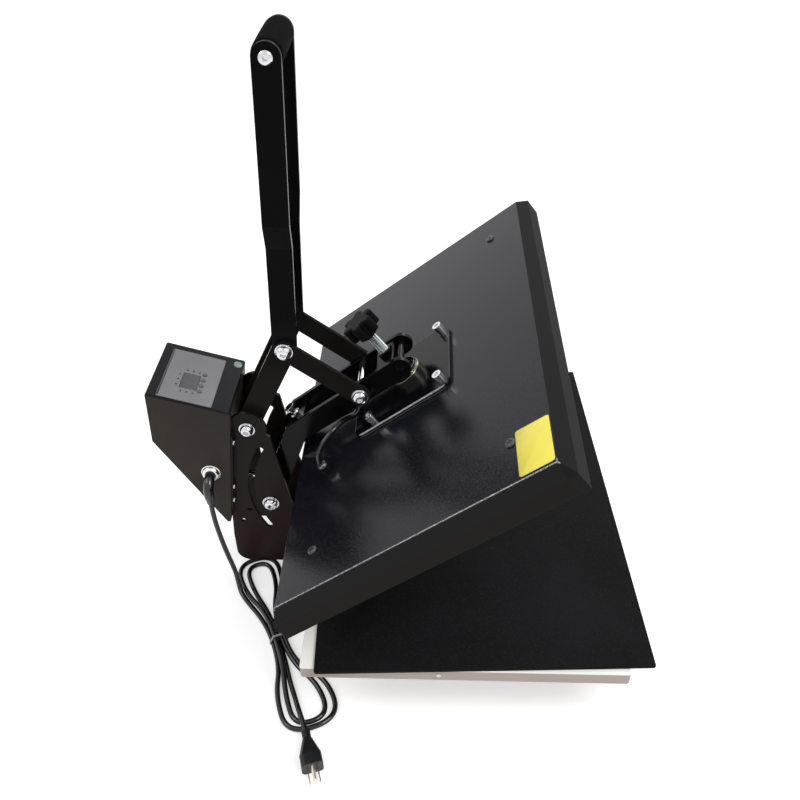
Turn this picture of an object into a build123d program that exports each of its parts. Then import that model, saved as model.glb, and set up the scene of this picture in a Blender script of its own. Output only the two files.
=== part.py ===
from build123d import *
import math
import os

os.makedirs("parts", exist_ok=True)

# A clamshell heat press. X runs to the user's right, -Y to the front, +Z up.
# Side-view places are (forward, up): forward of the lower board's rear edge,
# up from the board's top face. All sizes are millimetres.

# Lower board, mat and base frame
board_depth = 400.0
board_width = 600.0
board_thick = 18.5
board_top = 100.0
mat_depth = 412.0
mat_width = 600.0
mat_thick = 4.0
mat_turn = 2.6
mat_forward = 211.0
rail_width = 30.0
rail_height = 40.0
rail_rear = -66.0
rail_front = 372.0
tube_wall = 2.0
cross_bar_size = 29.5
cross_bar_length = 430.0
cross_bar_forward = (70.0, 330.0)
leg_spacing = 400.0
foot_height = 12.0
foot_radius = 14.0
base_bolt_radius = 4.0
base_bolt_spacing = 340.0

# Pivots in the side view, with the press open
arm_pivot = (-69.0, 29.5)
lever_pivot = (-87.0, 164.5)
knee_pivot = (-27.0, 286.0)
link_pivot = (65.0, 216.5)
grip_centre = (-10.0, 643.5)

# Layers of the linkage, as distances from the centre plane
arm_inner, arm_outer = 24.5, 30.5
lever_inner, lever_outer = 31.3, 36.3
link_inner, link_outer = 37.1, 42.1
plate_inner, plate_outer = 43.0, 48.0
handle_inner, handle_outer = 44.0, 49.0
lever_width = 31.0
link_width = 27.0
arm_width = 30.0
pivot_radius = 6.0
arm_pivot_radius = 7.0
run_clearance = 0.05
side_gap = 0.3
cut_over = 3.0

# Upper platen. Local places are (along, height): along the top face towards
# the front, and out of it, from the middle of its top face.
platen_centre = (129.5, 215.6)
platen_tilt = 37.5
platen_depth = 406.0
platen_width = 606.0
platen_bevel_run = 13.0
platen_bevel_drop = 14.8
platen_wall_drop = 25.0
cover_sheet = 2.0
heat_plate_thick = 14.0
heat_plate_proud = 2.0
heat_plate_gap = 1.0
heater_radius = 4.0
heater_pitch = 40.0
insulation_thick = 9.0
mount_plate_thick = 5.0
mount_plate_span = (-88.0, 66.0)
mount_plate_width = 134.0
cap_screw_spacing = (110.0, 110.0)
cover_screw_spacing = (458.0, 280.0)
standoff_radius = 6.5
gland_place = (-94.0, -133.0)

# Arms and pressure screw
arm_height = 37.0
arm_front = 12.0
arm_bend = -168.0
screw_radius = 7.0
screw_bottom = 9.0
screw_top = 97.0
block_span = (-19.0, 9.0)
block_height = (24.0, 50.0)
knob_radius = 23.0
knob_height = 20.0

# Control box: corners in the side view, and its width
box_corners = [(-209.5, 231.0), (-103.5, 199.8), (-129.0, -7.0), (-214.0, 150.0)]
box_width = 116.0
box_sheet = 1.5
label_size = (72.0, 104.0)
label_thick = 0.8
button_offsets = (-31.0, -19.0, -7.0, 5.0)
button_along = 65.0
button_radius = 3.2
inlet_place = (-143.0, 95.0)
inlet_radius = 10.0

# Cord
cord_radius = 3.5

# Outermost places, which set the middle of the part
half_turn_depth = mat_depth / 2 * math.cos(math.radians(mat_turn))
half_turn_width = mat_width / 2 * math.sin(math.radians(mat_turn))
front_most = mat_forward + half_turn_depth + half_turn_width
rear_most = box_corners[3][0]
middle = (front_most + rear_most) / 2

BASE_END = (Align.CENTER, Align.CENTER, Align.MIN)
TOP_END = (Align.CENTER, Align.CENTER, Align.MAX)


def write(shape, node):
    """Save one sub-part."""
    export_step(shape, f"parts/{node}.step")
    return shape


def spot(x, forward, up):
    """A place in the part's frame."""
    return (x, middle - forward, board_top + up)


def side_face(points):
    """A flat outline in the side view."""
    places = [(middle - f, board_top + u) for f, u in points]
    return make_face(Polyline(*places, close=True))


def rounded_face(corners):
    """A side-view outline from (forward, up, corner radius)."""
    places = [(middle - f, board_top + u) for f, u, r in corners]
    radii = [r for f, u, r in corners]
    return make_face(FilletPolyline(*places, radius=radii, close=True))


def slab(face, x_start, x_end):
    """A side-view outline, thick from one x to another."""
    low, high = sorted((x_start, x_end))
    return extrude(Plane.YZ.offset(low) * face, amount=high - low)


def strap(points, width):
    """The outline of a flat bar with round ends, bent at its middle points."""
    outline = None
    for f, u in points:
        disc = Pos(middle - f, board_top + u) * Circle(width / 2)
        outline = disc if outline is None else outline + disc
    for (f0, u0), (f1, u1) in zip(points, points[1:]):
        run = math.hypot(f1 - f0, u1 - u0)
        turn = math.degrees(math.atan2(u1 - u0, f0 - f1))
        centre = Pos(middle - (f0 + f1) / 2, board_top + (u0 + u1) / 2)
        outline += centre * Rot(0, 0, turn) * Rectangle(run, width)
    return outline


def rod(radius, x_start, x_end, place):
    """A round bar across the press."""
    low, high = sorted((x_start, x_end))
    where = Location(spot(low, *place), (0, 90, 0))
    return where * Cylinder(radius, high - low, align=BASE_END)


def ring(radius, bore, x_start, x_end, place):
    """A spacer or washer across the press."""
    return rod(radius, x_start, x_end, place) - rod(bore, x_start, x_end, place)


def button_head(side, start, place, radius=10.5, height=7.0, socket=4.0):
    """A domed screw head with a hexagon socket, facing outwards."""
    head = Cylinder(radius, height, align=BASE_END)
    head = fillet(head.edges().sort_by(Axis.Z)[-1], height * 0.75)
    socket_cut = extrude(Plane.XY.offset(height - 3.5) * RegularPolygon(socket, 6), amount=4)
    head -= socket_cut
    return Location(spot(side * start, *place), (0, side * 90, 0)) * head


tilt = math.radians(platen_tilt)
along_unit = (math.cos(tilt), math.sin(tilt))
height_unit = (-math.sin(tilt), math.cos(tilt))


def on_platen(along, height):
    """The side-view place of a point given from the platen's top middle."""
    f = platen_centre[0] + along * along_unit[0] + height * height_unit[0]
    u = platen_centre[1] + along * along_unit[1] + height * height_unit[1]
    return (f, u)


platen_plane = Plane(
    origin=spot(0, *platen_centre),
    x_dir=(1, 0, 0),
    z_dir=(0, -height_unit[0], height_unit[1]),
)


def to_platen(shape):
    """Moves a shape drawn flat, x across and y to the rear, onto the platen."""
    return platen_plane.location * shape


def drum(radius, low, high, x=0.0, along=0.0):
    """A round piece standing on the platen, drawn flat."""
    return Pos(x, -along, low) * Cylinder(radius, high - low, align=BASE_END)


def slab_box(x_span, along_span, height_span):
    """A box on the platen, drawn flat."""
    size = [b - a for a, b in (x_span, along_span, height_span)]
    middle_point = [(a + b) / 2 for a, b in (x_span, along_span, height_span)]
    return Pos(middle_point[0], -middle_point[1], middle_point[2]) * Box(*size)


def four_places(spacing):
    """The corners of a rectangle of fasteners."""
    return [(i * spacing[0] / 2, j * spacing[1] / 2) for i in (-1, 1) for j in (-1, 1)]


# Base frame: two rails, two cross bars on them, four legs and rubber feet

floor = -board_top
rail_low = floor + foot_height
rail_high = rail_low + rail_height
bar_high = rail_high + cross_bar_size


def square_tube(x_span, forward_span, up_span, open_axis):
    """A square steel tube, open at its two ends."""
    size = [b - a for a, b in (x_span, forward_span, up_span)]
    centre = spot(*[(a + b) / 2 for a, b in (x_span, forward_span, up_span)])
    bore = [s - 2 * tube_wall for s in size]
    bore[open_axis] = size[open_axis] + 1
    return Pos(*centre) * (Box(*size) - Box(*bore))


rail_x = (plate_inner - rail_width, plate_inner)
rails = []
for side in (-1, 1):
    x_span = sorted((side * rail_x[0], side * rail_x[1]))
    rails.append(square_tube(x_span, (rail_rear, rail_front), (rail_low, rail_high), 1))
write(rails[0], "base_rail_left")
write(rails[1], "base_rail_right")

half_bar = cross_bar_size / 2
bars = []
legs = []
for forward in cross_bar_forward:
    forward_span = (forward - half_bar, forward + half_bar)
    half_length = cross_bar_length / 2
    bar = square_tube((-half_length, half_length), forward_span, (rail_high, bar_high), 0)
    for side in (-1, 1):
        hole_x = side * base_bolt_spacing / 2
        hole = Cylinder(base_bolt_radius + 0.3, 3 * cross_bar_size)
        bar -= Pos(*spot(hole_x, forward, rail_high)) * hole
        leg_x = side * leg_spacing / 2
        leg_span = (leg_x - half_bar, leg_x + half_bar)
        legs.append(square_tube(leg_span, forward_span, (rail_low, rail_high), 2))
    bars.append(bar)
write(bars[0], "rear_cross_bar")
write(bars[1], "front_cross_bar")
write(Compound(children=legs), "base_legs")

rail_middle = sum(rail_x) / 2
foot_places = [(s * leg_spacing / 2, f) for s in (-1, 1) for f in cross_bar_forward]
foot_places += [(s * rail_middle, f) for s in (-1, 1) for f in (rail_rear + 16, rail_front - 20)]
feet = []
for x, forward in foot_places:
    foot = Cylinder(foot_radius, foot_height, align=BASE_END)
    foot = chamfer(foot.edges().sort_by(Axis.Z)[0], 1.5)
    feet.append(Pos(*spot(x, forward, floor)) * foot)

cap_depth = 2.0
caps = []
for side in (-1, 1):
    for end in (rail_rear - cap_depth, rail_front):
        centre = spot(side * rail_middle, end + cap_depth / 2, (rail_low + rail_high) / 2)
        caps.append(Pos(*centre) * Box(rail_width, cap_depth, rail_height))
    for forward in cross_bar_forward:
        x = side * (cross_bar_length + cap_depth) / 2
        centre = spot(x, forward, (rail_high + bar_high) / 2)
        caps.append(Pos(*centre) * Box(cap_depth, cross_bar_size, cross_bar_size))
write(Compound(children=feet + caps), "feet_and_end_caps")

# Lower board on the cross bars, its bolts, and the loose mat on it

board_low = -board_thick
board = Pos(*spot(0, board_depth / 2, board_low)) * Box(
    board_width, board_depth, board_thick, align=BASE_END
)
board = fillet(board.edges().filter_by(Axis.Z), 4.0)
board = chamfer(board.faces().sort_by(Axis.Z)[-1].edges(), 0.8)
bolt_depth = 12.0
base_bolts = []
for forward in cross_bar_forward:
    for side in (-1, 1):
        place = spot(side * base_bolt_spacing / 2, forward, board_low + bolt_depth)
        hole = Cylinder(base_bolt_radius, bolt_depth + 1, align=TOP_END)
        board -= Pos(*place) * hole
        shank_length = bolt_depth + bar_high - rail_high
        shank = Pos(*place) * Cylinder(base_bolt_radius, shank_length, align=TOP_END)
        head = extrude(RegularPolygon(7.5, 6), amount=5.5)
        head_place = spot(side * base_bolt_spacing / 2, forward, rail_high - 5.5)
        base_bolts.append(shank + Pos(*head_place) * head)

edge_screw_place = (169.0, -9.0)
edge_screw_radius = 3.0
edge_screws = []
for side in (-1, 1):
    start = side * (board_width / 2 - 8)
    hole = rod(edge_screw_radius / 2, start, side * board_width / 2, edge_screw_place)
    edge = side * board_width / 2
    head = rod(edge_screw_radius, edge, edge + side, edge_screw_place)
    board -= hole
    edge_screws.append(hole + head)
write(board, "lower_board")

mat = Box(mat_width, mat_depth, mat_thick, align=BASE_END)
mat = fillet(mat.edges().filter_by(Axis.Z), 3.0)
write(Pos(*spot(0, mat_forward, 0)) * Rot(0, 0, mat_turn) * mat, "silicone_mat")

# Side plates, with the flange that carries the control box

wall_top, wall_low = box_corners[1], box_corners[2]
wall_run = math.dist(wall_top, wall_low)
wall_unit = [(b - a) / wall_run for a, b in zip(wall_top, wall_low)]
wall_out = (-wall_unit[1], wall_unit[0])


def on_wall(down, out=0.0):
    """A side-view place by the box's front wall: down it, and out of it."""
    f = wall_top[0] + down * wall_unit[0] + out * wall_out[0]
    u = wall_top[1] + down * wall_unit[1] + out * wall_out[1]
    return (f, u)


plate_radius = 26.0
plate_low = floor + 9.0
plate_rear = -130.0
plate_front = 42.0
plate_corners = [
    (*on_wall(24.0), 0),
    (*on_wall(wall_run - 12.0), 0),
    (plate_rear, -34.0, 12),
    (plate_rear, plate_low, 20),
    (plate_front, plate_low, 8),
    (plate_front, plate_low + 40.0, 10),
    (-18.0, plate_low + 48.0, 30),
    (-40.0, 32.0, 40),
    (-49.0, 92.0, 40),
    (lever_pivot[0] + plate_radius + 3.0, lever_pivot[1] - 14.0, 0),
]
slot_bend = [(-73.7, 128.0), (-93.4, 53.0), (-75.3, -16.7)]
slot_width = 9.0
plate_holes = [(-101.0, 15.5), (-112.5, -7.0)]
plate_hole_radius = 3.5
flange_span = (42.0, 176.0)
flange_thick = 3.0
flange_outer = box_width / 2 - 1.0
flange_screw_downs = (55.0, 136.0, 162.0)
flange_screw_x = (plate_outer + flange_outer) / 2
plate_screw_places = [(-10.0, -68.0), (26.0, -68.0)]

ahead_of_wall = side_face([on_wall(-40), on_wall(wall_run), on_wall(wall_run, 300), on_wall(-40, 300)])
plate_face = rounded_face(plate_corners)
pivot_disc = Pos(middle - lever_pivot[0], board_top + lever_pivot[1]) * Circle(plate_radius)
plate_face += pivot_disc & ahead_of_wall
slot_places = [(middle - f, board_top + u) for f, u in slot_bend]
slot_line = ThreePointArc(*slot_places)
plate_face -= trace(slot_line, slot_width)
for end in (slot_line @ 0, slot_line @ 1):
    plate_face -= Pos(end.X, end.Y) * Circle(slot_width / 2)
for f, u in plate_holes:
    plate_face -= Pos(middle - f, board_top + u) * Circle(plate_hole_radius)

wall_plane_dir = (0, -wall_out[0], wall_out[1])
small_hole = 2.1
small_shank = 1.9


def wall_screw(x, down, out):
    """A pan-head screw into the box's front wall."""
    where = Plane(origin=spot(x, *on_wall(down, out)), x_dir=(1, 0, 0), z_dir=wall_plane_dir)
    head = Cylinder(3.6, 2.4, align=BASE_END)
    head = fillet(head.edges().sort_by(Axis.Z)[-1], 1.2)
    shank = Cylinder(small_shank, out + 4, align=TOP_END)
    return where.location * (head + shank)


def wall_hole(x, down):
    """The hole for such a screw."""
    where = Plane(origin=spot(x, *on_wall(down)), x_dir=(1, 0, 0), z_dir=wall_plane_dir)
    return where.location * Cylinder(small_hole, 12)


cut_start = plate_inner - cut_over
cut_end = plate_outer + cut_over
for side, name in ((-1, "side_plate_left"), (1, "side_plate_right")):
    plate = slab(plate_face, side * plate_inner, side * plate_outer)
    low, high = flange_span
    corners = [on_wall(low), on_wall(high), on_wall(high, flange_thick), on_wall(low, flange_thick)]
    plate += slab(side_face(corners), side * plate_inner, side * flange_outer)
    for down in flange_screw_downs:
        plate -= wall_hole(side * flange_screw_x, down)
    for place, radius in ((arm_pivot, arm_pivot_radius), (lever_pivot, pivot_radius)):
        plate -= rod(radius + run_clearance, side * cut_start, side * cut_end, place)
    for place in plate_screw_places:
        plate -= rod(3.1, side * cut_start, side * cut_end, place)
    write(plate, name)

flange_screws = []
plate_screws = []
for side in (-1, 1):
    for down in flange_screw_downs:
        flange_screws.append(wall_screw(side * flange_screw_x, down, flange_thick))
    for place in plate_screw_places:
        head = button_head(side, plate_outer, place, radius=6.5, height=4.0, socket=2.6)
        plate_screws.append(head + rod(3.0, side * (plate_inner + 0.2), side * plate_outer, place))
write(Compound(children=base_bolts + edge_screws + plate_screws), "frame_screws")

# Arm pivot: a stub bolt in each side plate, its nut and its spacer

nut_inner = 16.0
stubs = []
stub_nuts = []
for side in (-1, 1):
    stub = rod(arm_pivot_radius, side * nut_inner, side * plate_outer, arm_pivot)
    washer = ring(11.8, arm_pivot_radius - 0.01, side * plate_outer, side * (plate_outer + 1.6), arm_pivot)
    stub += washer + rod(arm_pivot_radius, side * plate_outer, side * (plate_outer + 1.6), arm_pivot)
    stubs.append(stub + button_head(side, plate_outer + 1.6, arm_pivot, radius=9.8, height=8.0))
    nut = Plane.YZ.offset(side * nut_inner) * Pos(*spot(0, *arm_pivot)[1:]) * RegularPolygon(11.5, 6)
    nut_depth = arm_inner - side_gap - nut_inner
    nut = extrude(nut, amount=side * nut_depth)
    nut -= rod(arm_pivot_radius, side * (nut_inner - cut_over), side * (arm_inner + cut_over), arm_pivot)
    spacer_start = side * (arm_outer + side_gap)
    spacer = ring(12.0, arm_pivot_radius, spacer_start, side * plate_inner, arm_pivot)
    stub_nuts += [nut, spacer]

# Lever pivot: one through bolt with a spacer each side of the lever plates

through = rod(pivot_radius, -plate_outer, plate_outer, lever_pivot)
for side in (-1, 1):
    start = side * plate_outer
    through += rod(10.8, start, side * (plate_outer + 1.6), lever_pivot)
    through += button_head(side, plate_outer + 1.6, lever_pivot, radius=9.0, height=7.5)
lever_spacers = [ring(9.0, pivot_radius, -(lever_inner - side_gap), lever_inner - side_gap, lever_pivot)]
for side in (-1, 1):
    start = side * (lever_outer + side_gap)
    lever_spacers.append(ring(11.0, pivot_radius, start, side * plate_inner, lever_pivot))
write(Compound(children=stubs + [through]), "pivot_bolts")
write(Compound(children=stub_nuts + lever_spacers), "pivot_nuts_and_spacers")

# Arms: two bent bars, their cross block, rods and bridge

arm_points = [on_platen(arm_front, arm_height), on_platen(arm_bend, arm_height), arm_pivot]
hub_radius = 20.0
front_rod_place = on_platen(arm_front + 2.0, arm_height + 3.0)
front_rod_radius = 4.5
arm_face = strap(arm_points, arm_width)
arm_face += Pos(*spot(0, *arm_pivot)[1:]) * Circle(hub_radius)
for side, name in ((-1, "arm_left"), (1, "arm_right")):
    arm = slab(arm_face, side * arm_inner, side * arm_outer)
    arm -= rod(arm_pivot_radius + run_clearance, side * 20, side * 35, arm_pivot)
    arm -= rod(pivot_radius, side * 20, side * 35, link_pivot)
    arm -= rod(front_rod_radius, side * 20, side * 35, front_rod_place)
    write(arm, name)
front_rod = rod(front_rod_radius, -arm_outer, arm_outer, front_rod_place)
link_rod = rod(pivot_radius, -arm_outer, arm_outer, link_pivot)
write(Compound(children=[front_rod, link_rod]), "arm_rods")

block = slab_box((-arm_inner, arm_inner), block_span, block_height)
block = fillet(block.edges().filter_by(Axis.X), 3.0)
block -= drum(screw_radius + run_clearance, 0, 80)
lock_nut = extrude(Plane.XY.offset(block_height[1]) * RegularPolygon(10.5, 6), amount=7)
lock_nut -= drum(screw_radius + run_clearance, 0, 80)

bridge_along = -163.0
bridge_low, bridge_high = 36.0, 44.0
stop_span = (29.0, 62.0)
bridge_half = 12.0
bridge_span = (bridge_along - bridge_half, bridge_along + bridge_half)
bridge = slab_box((-arm_inner, arm_inner), bridge_span, (bridge_low, bridge_high))
bridge -= drum(4.0, 0, 80, along=bridge_along)
write(to_platen(Compound(children=[block, bridge])), "arm_bridges")
stop = drum(4.0, stop_span[0], stop_span[1], along=bridge_along)
stop_place = Pos(0, -bridge_along, 0)
stop += stop_place * extrude(Plane.XY.offset(stop_span[1] - 6) * RegularPolygon(7.5, 6), amount=6)
stop_nut = stop_place * extrude(Plane.XY.offset(bridge_high) * RegularPolygon(7.5, 6), amount=6.5)
stop_nut -= drum(4.0, 0, 80, along=bridge_along)
write(to_platen(Compound(children=[lock_nut, stop, stop_nut])), "arm_stop_and_nuts")

# Heater lead, in two lengths that meet on the arm pivot's axis

lead_radius = 3.5
lead_offset = 10.0
lead_axis_gap = 0.05
lead_route = [
    (gland_place[0], gland_place[1], -10.0),
    (gland_place[0], gland_place[1], 22.0),
    (-87.0, -117.0, 34.0),
    (-73.0, -95.0, 37.0),
    (-52.0, -86.0, 29.0),
    (-33.0, -80.0, 14.0),
    (-9.0, -80.0, 11.0),
    (-9.0, -115.0, 13.0),
    (-lead_offset, -186.0, 14.0),
]


def bend_radii(points):
    """The largest arc that each corner of a route leaves room for."""
    radii = []
    for a, b, c in zip(points, points[1:], points[2:]):
        before, after = Vector(*b) - Vector(*a), Vector(*c) - Vector(*b)
        turn = math.radians(before.get_angle(after))
        radii.append(0.45 * min(before.length, after.length) / math.tan(turn / 2))
    return radii


def tube(points, radius, radii=None):
    """A round cable along straight runs joined by tangent arcs."""
    path = FilletPolyline(*points, radius=radii or bend_radii(points))
    section = Plane(origin=path @ 0, z_dir=path % 0) * Circle(radius)
    shape = sweep(section, path=path)
    wanted = math.pi * radius**2 * path.length
    print(f"tube length {path.length:.0f}, volume over section times length {shape.volume / wanted:.4f}")
    return shape


arm_lead = [spot(x, *on_platen(along, height)) for x, along, height in lead_route]
arm_lead += [spot(-lead_offset, *arm_pivot), spot(-lead_axis_gap, *arm_pivot)]
write(tube(arm_lead, lead_radius), "heater_lead_upper")
down_to_pivot = sum((p - q) * w for p, q, w in zip(arm_pivot, wall_top, wall_unit))
base_lead = [
    spot(lead_axis_gap, *arm_pivot),
    spot(lead_offset, *arm_pivot),
    spot(lead_offset, *on_wall(down_to_pivot, -20.0)),
]
write(tube(base_lead, lead_radius), "heater_lead_lower")
grommet_plane = Plane(
    origin=spot(lead_offset, *on_wall(down_to_pivot)), x_dir=(1, 0, 0), z_dir=wall_plane_dir
)
grommet = Pos(0, 0, -box_sheet - 2) * Cylinder(5.5, box_sheet + 5, align=BASE_END)
grommet += Cylinder(7.5, 3, align=BASE_END)
grommet -= Cylinder(lead_radius, 30)
lead_grommet = grommet_plane.location * grommet

# Lever: two plates, bent at the knee and stepped outwards below the grip

handle_run = math.dist(knee_pivot, grip_centre)
handle_unit = [(b - a) / handle_run for a, b in zip(knee_pivot, grip_centre)]
step_start, step_end = 139.0, 173.0
knee_plane = Plane(
    origin=spot(0, *knee_pivot), x_dir=(1, 0, 0), z_dir=(0, -handle_unit[0], handle_unit[1])
)
grip_bolt_radius = 5.0
lower_face = strap([lever_pivot, knee_pivot], lever_width)
handle_face = strap([knee_pivot, grip_centre], lever_width)
for side, name in ((-1, "lever_plate_left"), (1, "lever_plate_right")):
    bar_profile = [
        (lever_inner, -lever_width),
        (lever_outer, -lever_width),
        (lever_outer, step_start),
        (handle_outer, step_end),
        (handle_outer, handle_run + lever_width),
        (handle_inner, handle_run + lever_width),
        (handle_inner, step_end + 2.0),
        (lever_inner, step_start + 2.0),
    ]
    outline = make_face(Polyline(*[(side * x, z) for x, z in bar_profile], close=True))
    bar = knee_plane.location * extrude(Plane.XZ * outline, amount=lever_width, both=True)
    plate = bar & slab(handle_face, side * (lever_inner - cut_over), side * (handle_outer + cut_over))
    plate += slab(lower_face, side * lever_inner, side * lever_outer)
    lever_cut = (side * (lever_inner - cut_over), side * (lever_outer + cut_over))
    plate -= rod(pivot_radius + run_clearance, *lever_cut, lever_pivot)
    plate -= rod(pivot_radius, *lever_cut, knee_pivot)
    handle_cut = (side * (handle_inner - cut_over), side * (handle_outer + cut_over))
    plate -= rod(grip_bolt_radius, *handle_cut, grip_centre)
    write(plate, name)

knee_bolts = []
grip_bolts = []
for side in (-1, 1):
    head_start = link_outer + side_gap
    shank = rod(pivot_radius, side * lever_inner, side * (head_start + 1), knee_pivot)
    washer = rod(11.4, side * head_start, side * (head_start + 1.2), knee_pivot)
    knee_bolts.append(shank + washer + button_head(side, head_start + 1.2, knee_pivot, 10.0, 8.0))
    shank = rod(grip_bolt_radius, side * (handle_inner - 12), side * handle_outer, grip_centre)
    grip_bolts.append(shank + button_head(side, handle_outer, grip_centre, 8.0, 5.0, 3.0))
write(Compound(children=knee_bolts + grip_bolts), "lever_bolts")
cross_tube = rod(8.0, -lever_inner, lever_inner, knee_pivot)

tube_radius = 11.0
grip_radius = 17.0
grip_tube = ring(tube_radius, grip_bolt_radius, -handle_inner, handle_inner, grip_centre)
write(Compound(children=[cross_tube, grip_tube]), "lever_tubes")
grip = ring(grip_radius, tube_radius, -(handle_inner - 0.5), handle_inner - 0.5, grip_centre)
grip = fillet([e for e in grip.edges().filter_by(GeomType.CIRCLE) if e.radius > 16], 2.0)
write(grip, "foam_grip")

# Front links. Their lower pivot is left open, beside the arms.

link_face = strap([knee_pivot, link_pivot], link_width)
link_bolts = []
link_spacers = []
for side, name in ((-1, "front_link_left"), (1, "front_link_right")):
    link = slab(link_face, side * link_inner, side * link_outer)
    link_cut = (side * (link_inner - cut_over), side * (link_outer + cut_over))
    link -= rod(pivot_radius + run_clearance, *link_cut, knee_pivot)
    link -= rod(pivot_radius, *link_cut, link_pivot)
    write(link, name)
    shank = rod(pivot_radius, side * (arm_outer + side_gap), side * link_outer, link_pivot)
    washer = rod(11.0, side * link_outer, side * (link_outer + 1.2), link_pivot)
    link_bolts.append(shank + washer + button_head(side, link_outer + 1.2, link_pivot, 9.5, 7.0))
    spacer = ring(9.5, pivot_radius, side * (arm_outer + side_gap), side * link_inner, link_pivot)
    link_spacers.append(spacer)
write(Compound(children=link_bolts + link_spacers), "link_bolts_and_spacers")

# Upper platen: sheet cover, aluminium heating plate, heater and insulation


def block_on_platen(width, depth, low, high):
    """A rectangular block centred on the platen, drawn flat."""
    return Pos(0, 0, low) * Box(width, depth, high - low, align=BASE_END)


def cover_solid(inset):
    """The cover's outside, or its inside when inset by the sheet."""
    rim = (platen_width - 2 * inset, platen_depth - 2 * inset)
    flat = [size - 2 * platen_bevel_run for size in rim]
    low = -platen_bevel_drop - platen_wall_drop - (1 if inset else 0)
    wall = block_on_platen(*rim, low, -platen_bevel_drop - inset)
    lower = Plane.XY.offset(-platen_bevel_drop - inset) * Rectangle(*rim)
    upper = Plane.XY.offset(-inset) * Rectangle(*flat)
    return wall + loft([lower, upper], ruled=True)


heat_low = -platen_bevel_drop - platen_wall_drop - heat_plate_proud
heat_top = heat_low + heat_plate_thick
cap_places = four_places(cap_screw_spacing)
cover_places = four_places(cover_screw_spacing)
cap_shank, cover_shank = 4.0, 3.0
gland_thread = 6.0

cover = cover_solid(0) - cover_solid(cover_sheet)
for x, along in cap_places:
    cover -= drum(cap_shank + 0.2, -20, 20, x, along)
for x, along in cover_places:
    cover -= drum(cover_shank + 0.2, -20, 20, x, along)
cover -= drum(gland_thread + 0.2, -20, 20, *gland_place)
write(to_platen(cover), "platen_cover")

inner_inset = 2 * (cover_sheet + heat_plate_gap)
heat_plate = block_on_platen(platen_width - inner_inset, platen_depth - inner_inset, heat_low, heat_top)
heat_plate = fillet(heat_plate.edges().filter_by(Axis.Z), 3.0)
heat_plate = chamfer(heat_plate.faces().sort_by(Axis.Z)[0].edges(), 1.0)
stud_depth = 8.0
for x, along in cap_places:
    heat_plate -= drum(cap_shank, heat_top - stud_depth, heat_top + 1, x, along)
for x, along in cover_places:
    heat_plate -= drum(cover_shank, heat_top - stud_depth, heat_top + 1, x, along)
probe_place = (40.0, 150.0)
probe_radius = 2.5
heat_plate -= drum(probe_radius + 0.1, heat_top - 6, heat_top + 1, *probe_place)
write(to_platen(heat_plate), "heating_plate")

heater_rows = 7
heater_reach = 265.0
row_alongs = [(i - (heater_rows - 1) / 2) * heater_pitch for i in range(heater_rows)]
heater_height = heat_top + heater_radius
heater_points = []
for i, along in enumerate(row_alongs):
    ends = (heater_reach, -heater_reach) if i % 2 else (-heater_reach, heater_reach)
    heater_points += [(end, -along, heater_height) for end in ends]
heater_bends = [0.48 * heater_pitch] * (len(heater_points) - 2)
write(to_platen(tube(heater_points, heater_radius, heater_bends)), "heater_element")

wool_low = heat_top + 2 * heater_radius
wool_high = wool_low + insulation_thick
wool = block_on_platen(platen_width - 60, platen_depth - 60, wool_low, wool_high)
for x, along in cap_places + cover_places:
    wool -= drum(standoff_radius + 0.5, -60, 20, x, along)
wool -= drum(gland_thread + 4, -60, 20, *gland_place)
write(to_platen(wool), "insulation_blanket")

standoffs = []
for x, along in cap_places:
    shape = drum(standoff_radius, heat_top, -cover_sheet, x, along)
    standoffs.append(shape - drum(cap_shank, -60, 20, x, along))
for x, along in cover_places:
    shape = drum(standoff_radius, heat_top, -cover_sheet, x, along)
    standoffs.append(shape - drum(cover_shank, -60, 20, x, along))
write(to_platen(Compound(children=standoffs)), "platen_standoffs")

probe = drum(probe_radius, heat_top - 5.9, heat_top + 2.0, *probe_place)
cutout = block_on_platen(16, 22, heat_top, heat_top + 7)
cutout_place = Pos(-150.0, heater_pitch / 2, 0)
write(to_platen(Compound(children=[probe, cutout_place * cutout])), "platen_sensors")

# Mount plate, thrust cup, screws and gland on the platen's top face

mount_plate_sides = (-mount_plate_width / 2, mount_plate_width / 2)
mount_plate = slab_box(mount_plate_sides, mount_plate_span, (0, mount_plate_thick))
mount_plate = fillet(mount_plate.edges().filter_by(Axis.Z), 16.0)
mount_plate = chamfer(mount_plate.faces().sort_by(Axis.Z)[-1].edges(), 0.8)
for x, along in cap_places:
    mount_plate -= drum(cap_shank + 0.2, -2, 20, x, along)
write(to_platen(mount_plate), "mount_plate")

cap_head_radius = 6.5
cap_head_low = 10.0
cap_head_high = 18.0
cap_screws = []
for x, along in cap_places:
    screw = drum(cap_shank, heat_top - stud_depth + 0.5, cap_head_high, x, along)
    screw += drum(cap_head_radius - 1.0, mount_plate_thick, cap_head_low, x, along)
    screw += drum(cap_head_radius, cap_head_low, cap_head_high, x, along)
    socket = Plane.XY.offset(cap_head_high - 4) * RegularPolygon(3.4, 6)
    cap_screws.append(screw - Pos(x, -along, 0) * extrude(socket, amount=5))

cover_screws = []
for x, along in cover_places:
    head = Cylinder(6.2, 3.0, align=BASE_END)
    head = fillet(head.edges().sort_by(Axis.Z)[-1], 2.0)
    head -= Pos(0, 0, 1.6) * Box(1.4, 8, 4, align=BASE_END)
    head -= Pos(0, 0, 1.6) * Box(8, 1.4, 4, align=BASE_END)
    shank = drum(cover_shank, heat_top - stud_depth + 0.5, 0.5, x, along)
    cover_screws.append(shank + Pos(x, -along, 0) * head)
write(to_platen(Compound(children=cap_screws + cover_screws)), "platen_screws")

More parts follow.
